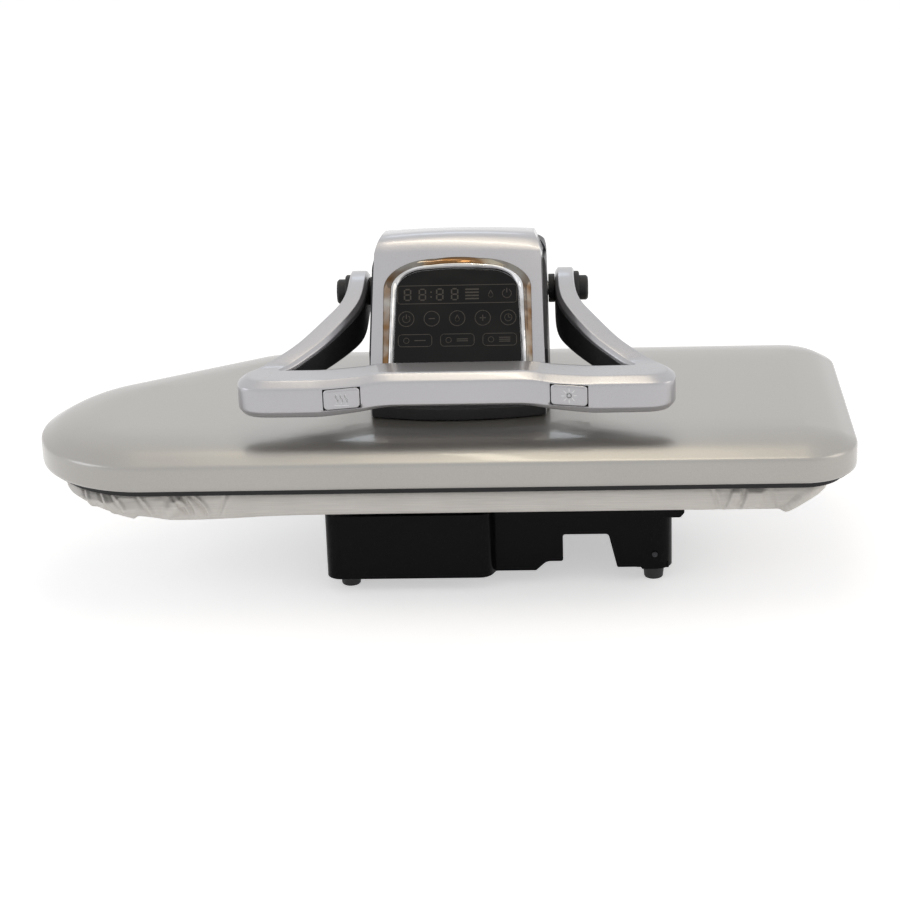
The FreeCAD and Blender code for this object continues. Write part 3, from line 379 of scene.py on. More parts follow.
class Form:
    """Mesh in the making, in millimetres from the middle of the board."""

    def __init__(self):
        self.bm = bmesh.new()

    def outline(self, corners, place, segments=8):
        """Face through corners (u, v, radius), each corner rounded by its radius."""
        before = set(self.bm.faces)
        verts = [self.bm.verts.new(place(u, v)) for u, v, radius in corners]
        self.bm.faces.new(verts)
        for vert, (u, v, radius) in zip(verts, corners):
            if radius > 0:
                arms = [edge.other_vert(vert).co - vert.co for edge in vert.link_edges]
                reach = radius / math.tan(arms[0].angle(arms[1]) / 2)
                bmesh.ops.bevel(self.bm, geom=[vert], offset=reach, offset_type="OFFSET", affect="VERTICES",
                                segments=segments, profile=0.5, material=-1, clamp_overlap=False)
        return next(face for face in self.bm.faces if face not in before)

    def extrude(self, face, move, keep=True):
        """Pull a face along a vector and return the moved face; the old face may stay as an end."""
        made = bmesh.ops.extrude_face_region(self.bm, geom=[face])["geom"]
        pulled = next(item for item in made if isinstance(item, bmesh.types.BMFace))
        bmesh.ops.translate(self.bm, verts=list(pulled.verts), vec=move)
        if not keep:
            bmesh.ops.delete(self.bm, geom=[face], context="FACES_ONLY")
        return pulled

    def inset(self, face, thickness, depth=0.0):
        """Draw a face in by a thickness and push it out by a depth."""
        self.bm.normal_update()
        bmesh.ops.inset_region(self.bm, faces=[face], thickness=thickness, depth=depth,
                               use_boundary=True, use_even_offset=True)
        return face

    def bevel(self, edges, width, segments=3):
        """Round edges."""
        bmesh.ops.bevel(self.bm, geom=list(edges), offset=width, offset_type="OFFSET", affect="EDGES",
                        segments=segments, profile=0.5, material=-1, clamp_overlap=True)

    def block(self, lowest, highest, bevel=0.0, segments=3):
        """Block between two corners with round edges."""
        size = Vector(highest) - Vector(lowest)
        middle = (Vector(highest) + Vector(lowest)) / 2
        made = bmesh.ops.create_cube(self.bm, size=1.0, matrix=Matrix.Translation(middle) @ Matrix.Diagonal(
            (size.x, size.y, size.z, 1.0)))
        if bevel:
            self.bevel({edge for vert in made["verts"] for edge in vert.link_edges}, bevel, segments)

    def lathe(self, profile, centre, axis, steps=48):
        """Turned shape: profile points (radius, distance along the axis), closed on the axis."""
        axis = Vector(axis).normalized()
        side = axis.orthogonal().normalized()
        ring = [self.bm.verts.new(Vector(centre) + side * radius + axis * along) for radius, along in profile]
        edges = [self.bm.edges.new(pair) for pair in zip(ring, ring[1:])]
        bmesh.ops.spin(self.bm, geom=ring + edges, cent=Vector(centre), axis=axis, angle=2 * math.pi,
                       steps=steps, use_merge=True)
        bmesh.ops.remove_doubles(self.bm, verts=self.bm.verts[:], dist=1e-4)

    def sweep(self, sections, stations):
        """Skin over unit sections, each placed by the matrix of its station, with closed ends."""
        rings = []
        for section, station in zip(sections, stations):
            rings.append([self.bm.verts.new(station @ Vector((0.0, u, v))) for u, v in section])
        self.skin(rings)

    def skin(self, rings):
        """Faces from ring to ring, with closed ends."""
        for before, after in zip(rings, rings[1:]):
            for i in range(len(before)):
                self.bm.faces.new((before[i - 1], before[i], after[i], after[i - 1]))
        self.bm.faces.new(rings[0][::-1])
        self.bm.faces.new(rings[-1])

    def copy_node(self, node):
        """Merged copy of a CAD node's mesh, flat faces joined."""
        self.bm.from_mesh(frame["nodes"][node].data)
        bmesh.ops.remove_doubles(self.bm, verts=self.bm.verts[:], dist=2e-6)
        bmesh.ops.scale(self.bm, vec=(1 / MM,) * 3, verts=self.bm.verts[:])
        bmesh.ops.translate(self.bm, vec=(0, -MIDDLE_Y / MM, 0), verts=self.bm.verts[:])
        bmesh.ops.dissolve_limit(self.bm, angle_limit=math.radians(1.0), verts=self.bm.verts[:],
                                 edges=self.bm.edges[:])

    def add(self, other):
        """Take in another form."""
        mesh = bpy.data.meshes.new("part")
        other.bm.to_mesh(mesh)
        self.bm.from_mesh(mesh)
        bpy.data.meshes.remove(mesh)

    def piece(self, name, body, slot, nodes=(), bevel=0.0, angle=35.0, rounds=0, recalc=True):
        """Finished object: normals outwards, in metres in the row frame, riding on its body."""
        if recalc:
            bmesh.ops.recalc_face_normals(self.bm, faces=self.bm.faces[:])
        bmesh.ops.scale(self.bm, vec=(MM,) * 3, verts=self.bm.verts[:])
        bmesh.ops.translate(self.bm, vec=(0, MIDDLE_Y, 0), verts=self.bm.verts[:])
        mesh = bpy.data.meshes.new(name)
        self.bm.to_mesh(mesh)
        self.bm.free()
        mesh.polygons.foreach_set("use_smooth", [True] * len(mesh.polygons))
        thing = bpy.data.objects.new(name, mesh)
        bpy.context.scene.collection.objects.link(thing)
        if rounds:
            curved = thing.modifiers.new("Rounded", "SUBSURF")
            curved.levels = curved.render_levels = rounds
        else:
            mesh.set_sharp_from_angle(angle=math.radians(angle))
        if bevel:
            edge = thing.modifiers.new("Edges", "BEVEL")
            edge.width = bevel * MM
            edge.segments = 3
            edge.limit_method = "ANGLE"
            edge.angle_limit = math.radians(32.0)
            edge.harden_normals = True
        mesh.materials.append(finishes[slot])
        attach(thing, body)
        if nodes:
            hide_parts(*nodes)
        return thing


finishes = {}


def on_plan(z):
    """Plan drawing at a height."""
    return lambda u, v: Vector((u, v, z))


def on_side(x):
    """Side drawing: (u, v) becomes (y, z) at x."""
    return lambda u, v: Vector((x, u, v))


def on_front(y):
    """Front drawing: (u, v) becomes (x, z) at y."""
    return lambda u, v: Vector((u, y, v))


# Plan of the pressing plate
NOSE_RUN, NOSE_FALL = 178.0, 113.0
NOSE_FRONT_RADIUS, NOSE_FLAT, NOSE_BLEND_RADIUS, TAIL_RADIUS = 95.0, 2.0, 80.0, 45.0


def plate_corners(inset):
    """Plate outline, drawn in by an inset: square tail on the right, slanted nose on the left."""
    turn = math.atan2(NOSE_RUN, NOSE_FALL)
    nose_back_radius = (2 * HALF_DEPTH - NOSE_FALL - NOSE_FRONT_RADIUS - NOSE_FLAT) / math.tan(turn / 2)
    corners = [
        (HALF_LENGTH, -HALF_DEPTH, TAIL_RADIUS),
        (HALF_LENGTH, HALF_DEPTH, TAIL_RADIUS),
        (NOSE_RUN - HALF_LENGTH, HALF_DEPTH, NOSE_BLEND_RADIUS),
        (-HALF_LENGTH, HALF_DEPTH - NOSE_FALL, nose_back_radius),
        (-HALF_LENGTH, -HALF_DEPTH, NOSE_FRONT_RADIUS),
    ]
    moved = []
    for i, (u, v, radius) in enumerate(corners):
        before, after = corners[i - 1], corners[(i + 1) % len(corners)]
        way_in = Vector((u - before[0], v - before[1])).normalized()
        way_out = Vector((after[0] - u, after[1] - v)).normalized()
        left_in, left_out = Vector((-way_in.y, way_in.x)), Vector((-way_out.y, way_out.x))
        shift = (left_in + left_out) * (inset / (1 + left_in.dot(left_out)))
        moved.append((u + shift.x, v + shift.y, max(radius - inset, 1.0)))
    return moved


def stacked(start, levels, segments, upwards=True):
    """Shape that grows from a plate outline through (inset, height) levels, closed by its last face."""
    form = Form()
    inset, height = start
    corners = plate_corners(inset)
    if not upwards:
        corners = corners[::-1]
    face = form.outline(corners, on_plan(height), segments)
    for next_inset, next_height in levels:
        depth = abs(next_height - height)
        form.inset(face, next_inset - inset, depth)
        inset, height = next_inset, next_height
    return form


def make_plate_shell():
    """Silver top of the plate: upright rim, soft edge and low crown."""
    edge = ((0.05, 16.0), (0.12, 18.6), (0.35, 19.7), (0.8, 20.6), (1.5, 21.35), (2.5, 22.0), (3.6, 22.65), (6.0, 24.05),
            (8.6, 25.55), (11.0, 26.85), (13.4, 27.95), (16.2, 29.0), (19.5, 29.9), (23.5, 30.8), (28.5, 31.65), (34.0, 32.4),
            (41.0, 33.2))
    form = stacked((0.0, RIM_BOTTOM + 4.0), [(inset, RIM_BOTTOM + rise) for inset, rise in edge], 28)
    cut_grid(form, max(form.bm.faces, key=lambda face: face.calc_area()), 24.0)
    lip = stacked((0.0, RIM_BOTTOM + 4.0), [(0.5, RIM_BOTTOM + 1.2), (1.6, RIM_BOTTOM), (9.0, RIM_BOTTOM - 0.01)],
                  28, upwards=False)
    form.add(lip)
    bmesh.ops.remove_doubles(form.bm, verts=form.bm.verts[:], dist=0.01)
    form.piece("plate_shell", "press_arm", "silver_paint", ["upper_shell"], angle=60.0)


# Section of the padded board
BOARD_INSET = HALF_LENGTH - high("board_cover").x
BOARD_TUCK, HEM_WIDTH, CLOTH_TOP_INSET = 7.0, 38.0, 49.0


def board_section(inset, grid):
    """Points (plate inset, height, cloth length from the cut edge) round the board's edge, from hem to top."""
    middle, half = (BOARD_BOTTOM + BOARD_TOP) / 2, (BOARD_TOP - BOARD_BOTTOM) / 2 - inset
    side = BOARD_INSET + inset
    points = []
    turns = max(round(math.pi * half / grid), 6)
    under = round((HEM_WIDTH - BOARD_TUCK) / grid)
    over = round((CLOTH_TOP_INSET - BOARD_TUCK - BOARD_INSET) / grid)
    for step in range(under):
        points.append((BOARD_INSET + HEM_WIDTH - (HEM_WIDTH - BOARD_TUCK) * step / under, middle - half))
    for step in range(turns + 1):
        angle = math.pi * (step / turns - 0.5)
        wide, tall = max(math.cos(angle), 0.0) ** 0.7, abs(math.sin(angle)) ** 0.7
        points.append((side + BOARD_TUCK * (1 - wide), middle + math.copysign(half * tall, angle)))
    for step in range(1, over + 1):
        points.append((side + BOARD_TUCK + (CLOTH_TOP_INSET - side - BOARD_TUCK) * step / over, middle + half))
    lengths = [0.0]
    for (a, b), (c, d) in zip(points, points[1:]):
        lengths.append(lengths[-1] + math.hypot(c - a, d - b))
    return [(i, z, s) for (i, z), s in zip(points, lengths)]


def board_columns(grid):
    """Points round the board with the way each one moves when the outline is drawn in by 1 mm."""
    form = Form()
    form.outline(plate_corners(BOARD_INSET), on_plan(0.0), 26)
    longest = 1.5 * grid
    for edge in [edge for edge in form.bm.edges if edge.calc_length() > longest]:
        bmesh.ops.subdivide_edges(form.bm, edges=[edge], cuts=round(edge.calc_length() / grid) - 1)
    form.bm.faces.ensure_lookup_table()
    face = form.bm.faces[0]
    outer = [vert.co.copy() for vert in face.verts]
    form.inset(face, 1.0)
    inner = [vert.co.copy() for vert in face.verts]
    form.bm.free()
    return [(point, partner - point) for point, partner in zip(outer, inner)]


def board_skin(columns, section, capped):
    """Skin through the section points of every column, with a closed top, or a closed bottom as well."""
    form = Form()
    rings = []
    for inset, height, along in section:
        ring = [form.bm.verts.new(point + way * (inset - BOARD_INSET) + Vector((0, 0, height)))
                for point, way in columns]
        rings.append(ring)
    count = len(columns)
    for lower, upper in zip(rings, rings[1:]):
        for i in range(count):
            j = (i + 1) % count
            form.bm.faces.new((lower[i], lower[j], upper[j], upper[i]))
    top = form.bm.faces.new(rings[-1])
    if capped:
        form.bm.faces.new(rings[0][::-1])
    return form, rings, top


def cut_grid(form, face, pitch):
    """Divide a flat face into squares."""
    patch = {face}
    for way, reach in ((Vector((1, 0, 0)), HALF_LENGTH), (Vector((0, 1, 0)), HALF_DEPTH)):
        steps = int(reach / pitch)
        for step in range(-steps, steps + 1):
            edges = {edge for part in patch for edge in part.edges}
            verts = {vert for part in patch for vert in part.verts}
            cut = bmesh.ops.bisect_plane(form.bm, geom=list(patch) + list(edges) + list(verts),
                                         plane_co=way * pitch * step, plane_no=way)
            patch = {item for item in cut["geom"] if isinstance(item, bmesh.types.BMFace)}


def lay_flat(form, rings, columns, section):
    """UV map of the cover: its flat cut, in metres."""
    flat = form.bm.loops.layers.uv.new("flat_cut")
    spread = {}
    total = section[-1][2]
    for ring, (inset, height, along) in zip(rings, section):
        for vert, (point, way) in zip(ring, columns):
            place = point + way * (CLOTH_TOP_INSET - BOARD_INSET - (total - along))
            spread[vert] = (place.x * MM, place.y * MM)
    area = 0.0
    for face in form.bm.faces:
        corners = []
        for loop in face.loops:
            loop[flat].uv = spread[loop.vert]
            corners.append(spread[loop.vert])
        area += sum(a[0] * b[1] - b[0] * a[1] for a, b in zip(corners, corners[1:] + corners[:1])) / 2
    xs = [place[0] for place in spread.values()]
    ys = [place[1] for place in spread.values()]
    return abs(area), max(xs) - min(xs), max(ys) - min(ys)


def droop(form):
    """Tuck in the padded ends of the board: the nose lower on top and drawn in below, the tail drawn in below."""
    for vert in form.bm.verts:
        share = min(max((vert.co.z - BOARD_BOTTOM) / (BOARD_TOP - BOARD_BOTTOM), 0.0), 1.0)
        reach = min(max((-vert.co.x - 218.0) / 80.0, 0.0), 1.0)
        inward = Vector((-190.0 - vert.co.x, -30.0 - vert.co.y, 0.0)).normalized()
        tail = min(max((vert.co.x - 252.0) / 60.0, 0.0), 1.0)
        vert.co += inward * (14.0 * (1 - share) ** 1.4 * reach)
        vert.co.x -= 36.0 * (1 - share) ** 1.2 * tail
        vert.co.z += (6.0 * (1 - share) - 7.0 * share) * reach
        vert.co.z -= 3.0 * (1 - share) * math.exp(-((vert.co.x + 205.0) / 60.0) ** 2)


def pulled_askew(x, y):
    """How far the hem was drawn along the board's edge when the cover was put on, in millimetres."""
    places = ((-285.0, 26.0, 6.0), (-205.0, 30.0, 2.5), (238.0, 20.0, 2.0)) if y < 0 else ((70.0, 50.0, 4.0),)
    return sum(reach * math.exp(-((x - middle) / width) ** 2) for middle, width, reach in places)


# Creases of the cover in front: place on the top edge, place on the lower edge, bend, height of the fold
CREASES = (
    (-293.0, -281.0, 2.0, 2.0), (-279.0, -262.0, 3.0, 2.6), (-268.0, -250.0, 3.0, 2.2), (-244.0, -229.0, 2.0, 2.0),
    (-214.0, -199.0, 2.5, 2.6), (-206.0, -195.0, 3.0, 2.0), (-200.0, -185.0, 4.0, 3.0), (-168.0, -176.0, 0.5, 1.5),
    (216.0, 222.0, 1.0, 1.4), (232.0, 224.0, 1.0, 1.6), (243.0, 236.0, 1.5, 1.8), (262.0, 268.0, 1.0, 1.3),
)


def crease_lift(x, share):
    """Outward lift of the cover by its creases at a place along the front and a share of its height."""
    lift = 0.0
    for top, bottom, bend, rise in CREASES:
        line = top + (bottom - top) * (1 - share) + 4 * bend * share * (1 - share)
        fade = min(4.0 * share, 3.0 * (1 - share), 1.0)
        ridge = 0.9 * math.exp(-((x - line) / 2.0) ** 2) - math.exp(-((x - line + 2.9) / 1.3) ** 2)
        lift += rise * max(fade, 0.0) * ridge
    return lift


def press_creases(cloth):
    """Finer mesh where the cover is creased, and the creases pressed into it."""
    form = bmesh.new()
    form.from_mesh(cloth.data)
    front = low("board_cover").y * MM + MIDDLE_Y
    for turn in range(2):
        creased = set()
        for face in form.faces:
            place = face.calc_center_median()
            if place.y < front + 0.075 and place.z < BOARD_TOP * MM - 0.0003 and (-0.31 < place.x < -0.15 or 0.2 < place.x < 0.28):
                if face.normal.z > -0.97 and face.normal.y < 0.2:
                    creased.update(face.edges)
        if turn == 0:
            bmesh.ops.subdivide_edges(form, edges=list(creased), cuts=3, use_grid_fill=True, smooth=0.0)
    form.normal_update()
    for vert in {vert for edge in creased for vert in edge.verts}:
        share = (vert.co.z / MM - BOARD_BOTTOM) / (BOARD_TOP - BOARD_BOTTOM)
        vert.co += vert.normal * crease_lift(vert.co.x / MM, min(max(share, 0.0), 1.0)) * MM
    form.to_mesh(cloth.data)
    form.free()


def settle_cloth(cloth, columns, first, last, slack, core):
    """Let a cover that was drawn on askew find its folds round the core, held at hem and top edge."""
    count = len(columns)
    free = range(first * count, (last + 1) * count)
    held = cloth.vertex_groups.new(name="held")
    held.add([vert.index for vert in cloth.data.vertices if vert.index not in free], 1.0, "REPLACE")
    loose = cloth.vertex_groups.new(name="loose")
    cloth.shape_key_add(name="drawn on")
    cut_shape = cloth.shape_key_add(name="as cut")
    before = [vert.co.copy() for vert in cloth.data.vertices]
    for index in range(min((last + 1) * count, len(before))):
        row, column = divmod(index, count)
        point = columns[column][0]
        along = (columns[(column + 1) % count][0] - columns[column - 1][0]).normalized()
        skew = pulled_askew(point.x, point.y) * MM
        share = min(max((last + 1 - row) / (last + 1 - first), 0.0), 1.0)
        slackness = min(skew / 0.003, 1.0)
        loose.add([index], slackness, "REPLACE")
        cut_shape.data[index].co = before[index] - along * skew * share
        if index in free:
            cut_shape.data[index].co += noise.noise_vector(before[index] * 150.0) * 0.0004 * slackness
    core.modifiers.new("Core", "COLLISION")
    core.collision.thickness_outer = 0.0008
    solver = cloth.modifiers.new("Cloth", "CLOTH")
    cut = solver.settings
    cut.quality = 5
    cut.mass = 0.15
    cut.tension_stiffness = cut.compression_stiffness = 15.0
    cut.shear_stiffness = 5.0
    cut.bending_stiffness = 0.02
    cut.vertex_group_mass = "held"
    cut.vertex_group_shrink = "loose"
    cut.shrink_min, cut.shrink_max = 0.0, -slack
    cut.effector_weights.gravity = 0.15
    solver.collision_settings.use_collision = True
    solver.collision_settings.distance_min = 0.0006
    solver.collision_settings.use_self_collision = False
    scene = bpy.context.scene
    solver.point_cache.frame_start, solver.point_cache.frame_end = 1, 30
    for number, share in ((1, 1.0), (16, 0.0)):
        cut_shape.value = share
        cut_shape.keyframe_insert("value", frame=number)
    for number in range(1, 31):
        scene.frame_set(number)
    depsgraph = bpy.context.evaluated_depsgraph_get()
    settled = [vert.co.copy() for vert in cloth.evaluated_get(depsgraph).data.vertices]
    cloth.modifiers.remove(solver)
    cloth.shape_key_clear()
    scene.frame_set(1)
    furthest = 0.0045
    for vert, start, place in zip(cloth.data.vertices, before, settled):
        step = place - start
        if step.length > furthest:
            step *= furthest / step.length
        vert.co = start + step
        vert.co.z = min(vert.co.z, BOARD_TOP * MM)


def make_board_cover():
    """Cloth cover drawn over the padded board and gathered under it, settled round a core in the pad's shape that is
    then removed.
    """
    size = bpy.context.scene.press_sizes
    grid = size.cloth_grid / MM
    columns = board_columns(grid)
    section = board_section(0.0, grid)
    form, rings, top = board_skin(columns, section, capped=False)
    area, flat_length, flat_width = lay_flat(form, rings, columns, section)
    cut_grid(form, top, 3 * grid)
    droop(form)
    turn = [i for i, (inset, height, along) in enumerate(section) if inset < BOARD_INSET + BOARD_TUCK - 0.1]
    cloth = form.piece("cloth_cover", "base", "cover_cloth", ["board_cover"], angle=180.0)
    inner = board_skin(columns, board_section(1.8, grid), capped=True)[0]
    droop(inner)
    core = inner.piece("core", "base", "pad_foam")
    settle_cloth(cloth, columns, turn[0] + 1, turn[-1] - 2, size.cloth_slack, core)
    bpy.data.objects.remove(core)
    press_creases(cloth)
    curved = cloth.modifiers.new("Rounded", "SUBSURF")
    curved.levels = curved.render_levels = 1


def make_foam_pad():
    """Foam pad between tray and cover: crowned, round-edged and flat below."""
    pad_low, pad_high = low("board_pad").z, high("board_pad").z
    thick = pad_high - pad_low
    side = BOARD_INSET + 2.4
    levels = []
    for step in range(1, 9):
        angle = 0.5 * math.pi * step / 8
        levels.append((side + (BOARD_TUCK - 1) * (1 - math.cos(angle)), pad_low + 0.5 + (thick - 0.9) * math.sin(angle)))
    form = stacked((side, pad_low + 0.5), levels, 20)
    form.add(stacked((side, pad_low + 0.5), [(side + 0.4, pad_low + 0.05)], 20, upwards=False))
    bmesh.ops.remove_doubles(form.bm, verts=form.bm.verts[:], dist=0.01)
    droop(form)
    pad = form.piece("foam_pad", "base", "pad_foam", ["board_pad"], angle=60.0)


# Tower and its slanted panel
TOWER_RISE, TOWER_HALF_TOP, PANEL_FOOT = 136.0, 68.5, 38.0
PANEL_RUN, PANEL_RISE = 50.0, 78.0
PANEL_HALF, PANEL_LOW, PANEL_HIGH, PANEL_CORNER, BEZEL_BAND = 51.0, 3.0, 85.0, 26.0, 10.0
SLOPE = Vector((0, PANEL_RUN, PANEL_RISE)).normalized()
OUT = Vector((0, -PANEL_RISE, PANEL_RUN)).normalized()
TOWER_FRONT = low("tower_cover").y
PANEL_ORIGIN = Vector((ARM_X, TOWER_FRONT, PLATE_TOP + PANEL_FOOT))
GLASS_RISE = 1.4


def on_panel(rise):
    """Drawing on the slanted panel: (u, v) is across and up the slope, rise is out of it."""
    return lambda u, v: PANEL_ORIGIN + Vector((u, 0, 0)) + SLOPE * v + OUT * rise


def make_tower_cover():
    """Silver front cover of the tower: slanted face, arched top and soft edges."""
    crest = PLATE_TOP + TOWER_RISE
    crest_y = TOWER_FRONT + (TOWER_RISE - PANEL_FOOT) * PANEL_RUN / PANEL_RISE
    back = high("tower_cover").y
    foot = PLATE_TOP + 0.2
    profile = [
        (TOWER_FRONT, foot, 0.0),
        (TOWER_FRONT, PLATE_TOP + PANEL_FOOT, 18.0),
        (crest_y, crest, 24.0),
        (back, crest - 10.0, 3.0),
        (back, crest - 28.8, 0.0),
        (back - 33.6, crest - 24.0, 0.0),
        (TOWER_FRONT + 24.0, PLATE_TOP + PANEL_FOOT + 9.6, 0.0),
        (TOWER_FRONT + 24.0, foot, 0.0),
    ]
    form = Form()
    first = form.outline(profile, on_side(-1.0), 8)
    half_steps = (0.15, 0.35, 0.55, 0.72, 0.86, 1.0)
    steps = [-step for step in half_steps[-2::-1]] + [0.0] + list(half_steps)
    face, place = first, -1.0
    for step in steps:
        face = form.extrude(face, (step - place, 0, 0), keep=face is first)
        place = step
    for vert in form.bm.verts:
        share = (vert.co.z - foot) / (crest - foot)
        side = vert.co.x
        near_top = min(max((vert.co.z - crest + 25.0) / 25.0, 0.0), 1.0)
        near_back = min(max((vert.co.y - crest_y) / (back - crest_y), 0.0), 1.0)
        narrowed = 6.0 * near_top ** 2 + 6.0 * near_back * near_top ** 0.5
        vert.co.x = ARM_X + side * (TOWER_HALF + (TOWER_HALF_TOP - TOWER_HALF) * share - narrowed)
        vert.co.z -= 3.0 * side ** 2 * near_top
    bmesh.ops.recalc_face_normals(form.bm, faces=form.bm.faces[:])
    soft = []
    for edge in form.bm.edges:
        caps = [face for face in edge.link_faces if abs(face.normal.x) > 0.9]
        skins = [face for face in edge.link_faces if abs(face.normal.x) <= 0.9]
        if len(caps) == 1 and len(skins) == 1 and (skins[0].normal.y < -0.2 or skins[0].normal.z > 0.4):
            soft.append(edge)
    form.bevel(soft, 5.5, 5)
    form.piece("tower_front_cover", "press_arm", "silver_plastic", ["tower_cover"], bevel=0.4, angle=40.0)


def make_tower_housing():
    """Dark arm housing behind the cover and the black crescent at the tower's foot."""
    for node, slot, edge in (("arm_housing", "dark_housing", 1.4), ("tower_collar", "matt_black", 1.5)):
        form = Form()
        form.copy_node(node)
        for vert in form.bm.verts:
            vert.co.z -= 6.0 * min(max((vert.co.z - 232.0) / 36.0, 0.0), 1.0)
        form.piece(node + "_moulding", "press_arm", slot, [node], bevel=edge)


def arch_points(grow):
    """Arch on the panel, widened by a band: feet that turn in, upright sides, flat elliptic top."""
    foot_half, top_half = PANEL_HALF + 0.6 + 0.87 * grow, PANEL_HALF - 2.0 + 1.06 * grow
    wide, tall, top = PANEL_CORNER + 1.6 * grow, 16.5 + 0.85 * grow, PANEL_HIGH + grow
    right = [(foot_half - 2.6, PANEL_LOW - 1.2), (foot_half - 0.7, PANEL_LOW + 0.6), (foot_half, PANEL_LOW + 4.0)]
    for step in range(1, 5):
        share = step / 5
        right.append((foot_half + (top_half - foot_half) * share, PANEL_LOW + 4.0 + (top - tall - PANEL_LOW - 4.0) * share))
    for step in range(19):
        turn = 0.5 * math.pi * step / 18
        right.append((top_half - wide * (1 - math.cos(turn)), top - tall * (1 - math.sin(turn)) - 1.2))
    for step in range(1, 5):
        share = 1 - step / 5
        right.append(((top_half - wide) * share, top - 1.2 * share ** 2))
    return right + [(0.0, top)] + [(-u, v) for u, v in right[::-1]]


def arch_skin(section):
    """Closed band along the arch: its section is a list of (band width, rise over the panel)."""
    form = Form()
    lines = [[on_panel(rise)(u, v) for u, v in arch_points(grow)] for grow, rise in section]
    rings = [[form.bm.verts.new(place) for place in ring] for ring in zip(*lines)]
    form.skin(rings)
    return form


def make_bezel():
    """Chrome arch: outer facet in the darker chrome copy with painted reflection, and a lip in the lighter painted
    copy that slopes down to the glass.
    """
    band = BEZEL_BAND
    outer = [(band, -0.6), (band, 0.5), (band - 0.5, 1.1), (band - 3.6, 2.3), (4.6, 3.1), (3.9, 3.0), (3.9, -0.6)]
    arch_skin(outer).piece("chrome_arch", "press_arm", "chrome", ["chrome_bezel"], bevel=0.25, angle=30.0)
    inner = [(3.9, -0.5), (3.9, 3.05), (3.3, 3.3), (2.5, 3.2), (0.4, 1.5), (0.2, 1.2), (0.2, -0.5)]
    # lip in the lighter chrome copy: painted bright reflection
    arch_skin(inner).piece("chrome_lip", "press_arm", "painted_bright_lip", angle=30.0)


def make_glass():
    """Black panel glass with a polished edge."""
    form = Form()
    corners = [(u, v, 0.0) for u, v in arch_points(-0.1)]
    face = form.outline(corners, on_panel(-2.6))
    face = form.extrude(face, OUT * (2.6 + GLASS_RISE - 0.6))
    form.inset(face, 0.3, 0.35)
    form.inset(face, 0.6, 0.25)
    form.piece("panel_pane", "press_arm", "panel_glass", ["control_glass"], angle=10.0)


class Ink:
    """Thin printed marks on a flat face, in millimetres."""

    def __init__(self, place, lift):
        self.form = Form()
        self.place = place
        self.lift = lift

    def plate(self, corners):
        """One flat mark with a little thickness."""
        face = self.form.outline(corners, self.place, 4)
        self.form.extrude(face, self.lift)

    def bar(self, u, v, width, height, radius=0.0):
        """Upright rectangle round a middle point."""
        self.plate([(u - width / 2, v - height / 2, radius), (u + width / 2, v - height / 2, radius),
                    (u + width / 2, v + height / 2, radius), (u - width / 2, v + height / 2, radius)])

    def stroke(self, u, v, span, turn, width=0.7):
        """Line of a given length and direction round a middle point."""
        along = Vector((math.cos(turn), math.sin(turn))) * span / 2
        side = Vector((-math.sin(turn), math.cos(turn))) * width / 2
        middle = Vector((u, v))
        corners = [middle - along - side, middle + along - side, middle + along + side, middle - along + side]
        self.plate([(corner.x, corner.y, 0.0) for corner in corners])

    def path(self, points, width=0.7):
        """Run of strokes through points."""
        for (a, b), (c, d) in zip(points, points[1:]):
            self.stroke((a + c) / 2, (b + d) / 2, math.hypot(c - a, d - b) + 0.6 * width, math.atan2(d - b, c - a), width)

    def arc(self, u, v, radius, start, end, width=0.7, steps=18):
        """Part of a circle."""
        turns = [start + (end - start) * i / steps for i in range(steps + 1)]
        self.path([(u + radius * math.cos(t), v + radius * math.sin(t)) for t in turns], width)

    def frame(self, u, v, width, height, radius, line=0.6):
        """Rounded rectangular frame."""
        half_u, half_v = width / 2 - radius, height / 2 - radius
        for side in (-1, 1):
            self.bar(u, v + side * height / 2, 2 * half_u, line)
            self.bar(u + side * width / 2, v, line, 2 * half_v)
        quarter = math.pi / 2
        for turn, (a, b) in enumerate(((1, 1), (-1, 1), (-1, -1), (1, -1))):
            self.arc(u + a * half_u, v + b * half_v, radius, turn * quarter, (turn + 1) * quarter, line, 6)


def digit_marks(ink, u, v, tall):
    """One unlit seven-segment digit."""
    wide, line = 0.55 * tall, 0.13 * tall
    for side in (-1, 1):
        for half in (-1, 1):
            ink.bar(u + side * wide / 2, v + half * tall / 4, line, 0.40 * tall)
    for level in (-1, 0, 1):
        ink.bar(u, v + level * tall / 2, 0.70 * wide, line)


def drop_mark(ink, u, v, size):
    """Water drop."""
    ink.arc(u, v - 0.2 * size, 0.55 * size, math.radians(150), math.radians(390), 0.6)
    ink.path([(u - 0.48 * size, v + 0.08 * size), (u, v + size), (u + 0.48 * size, v + 0.08 * size)], 0.6)


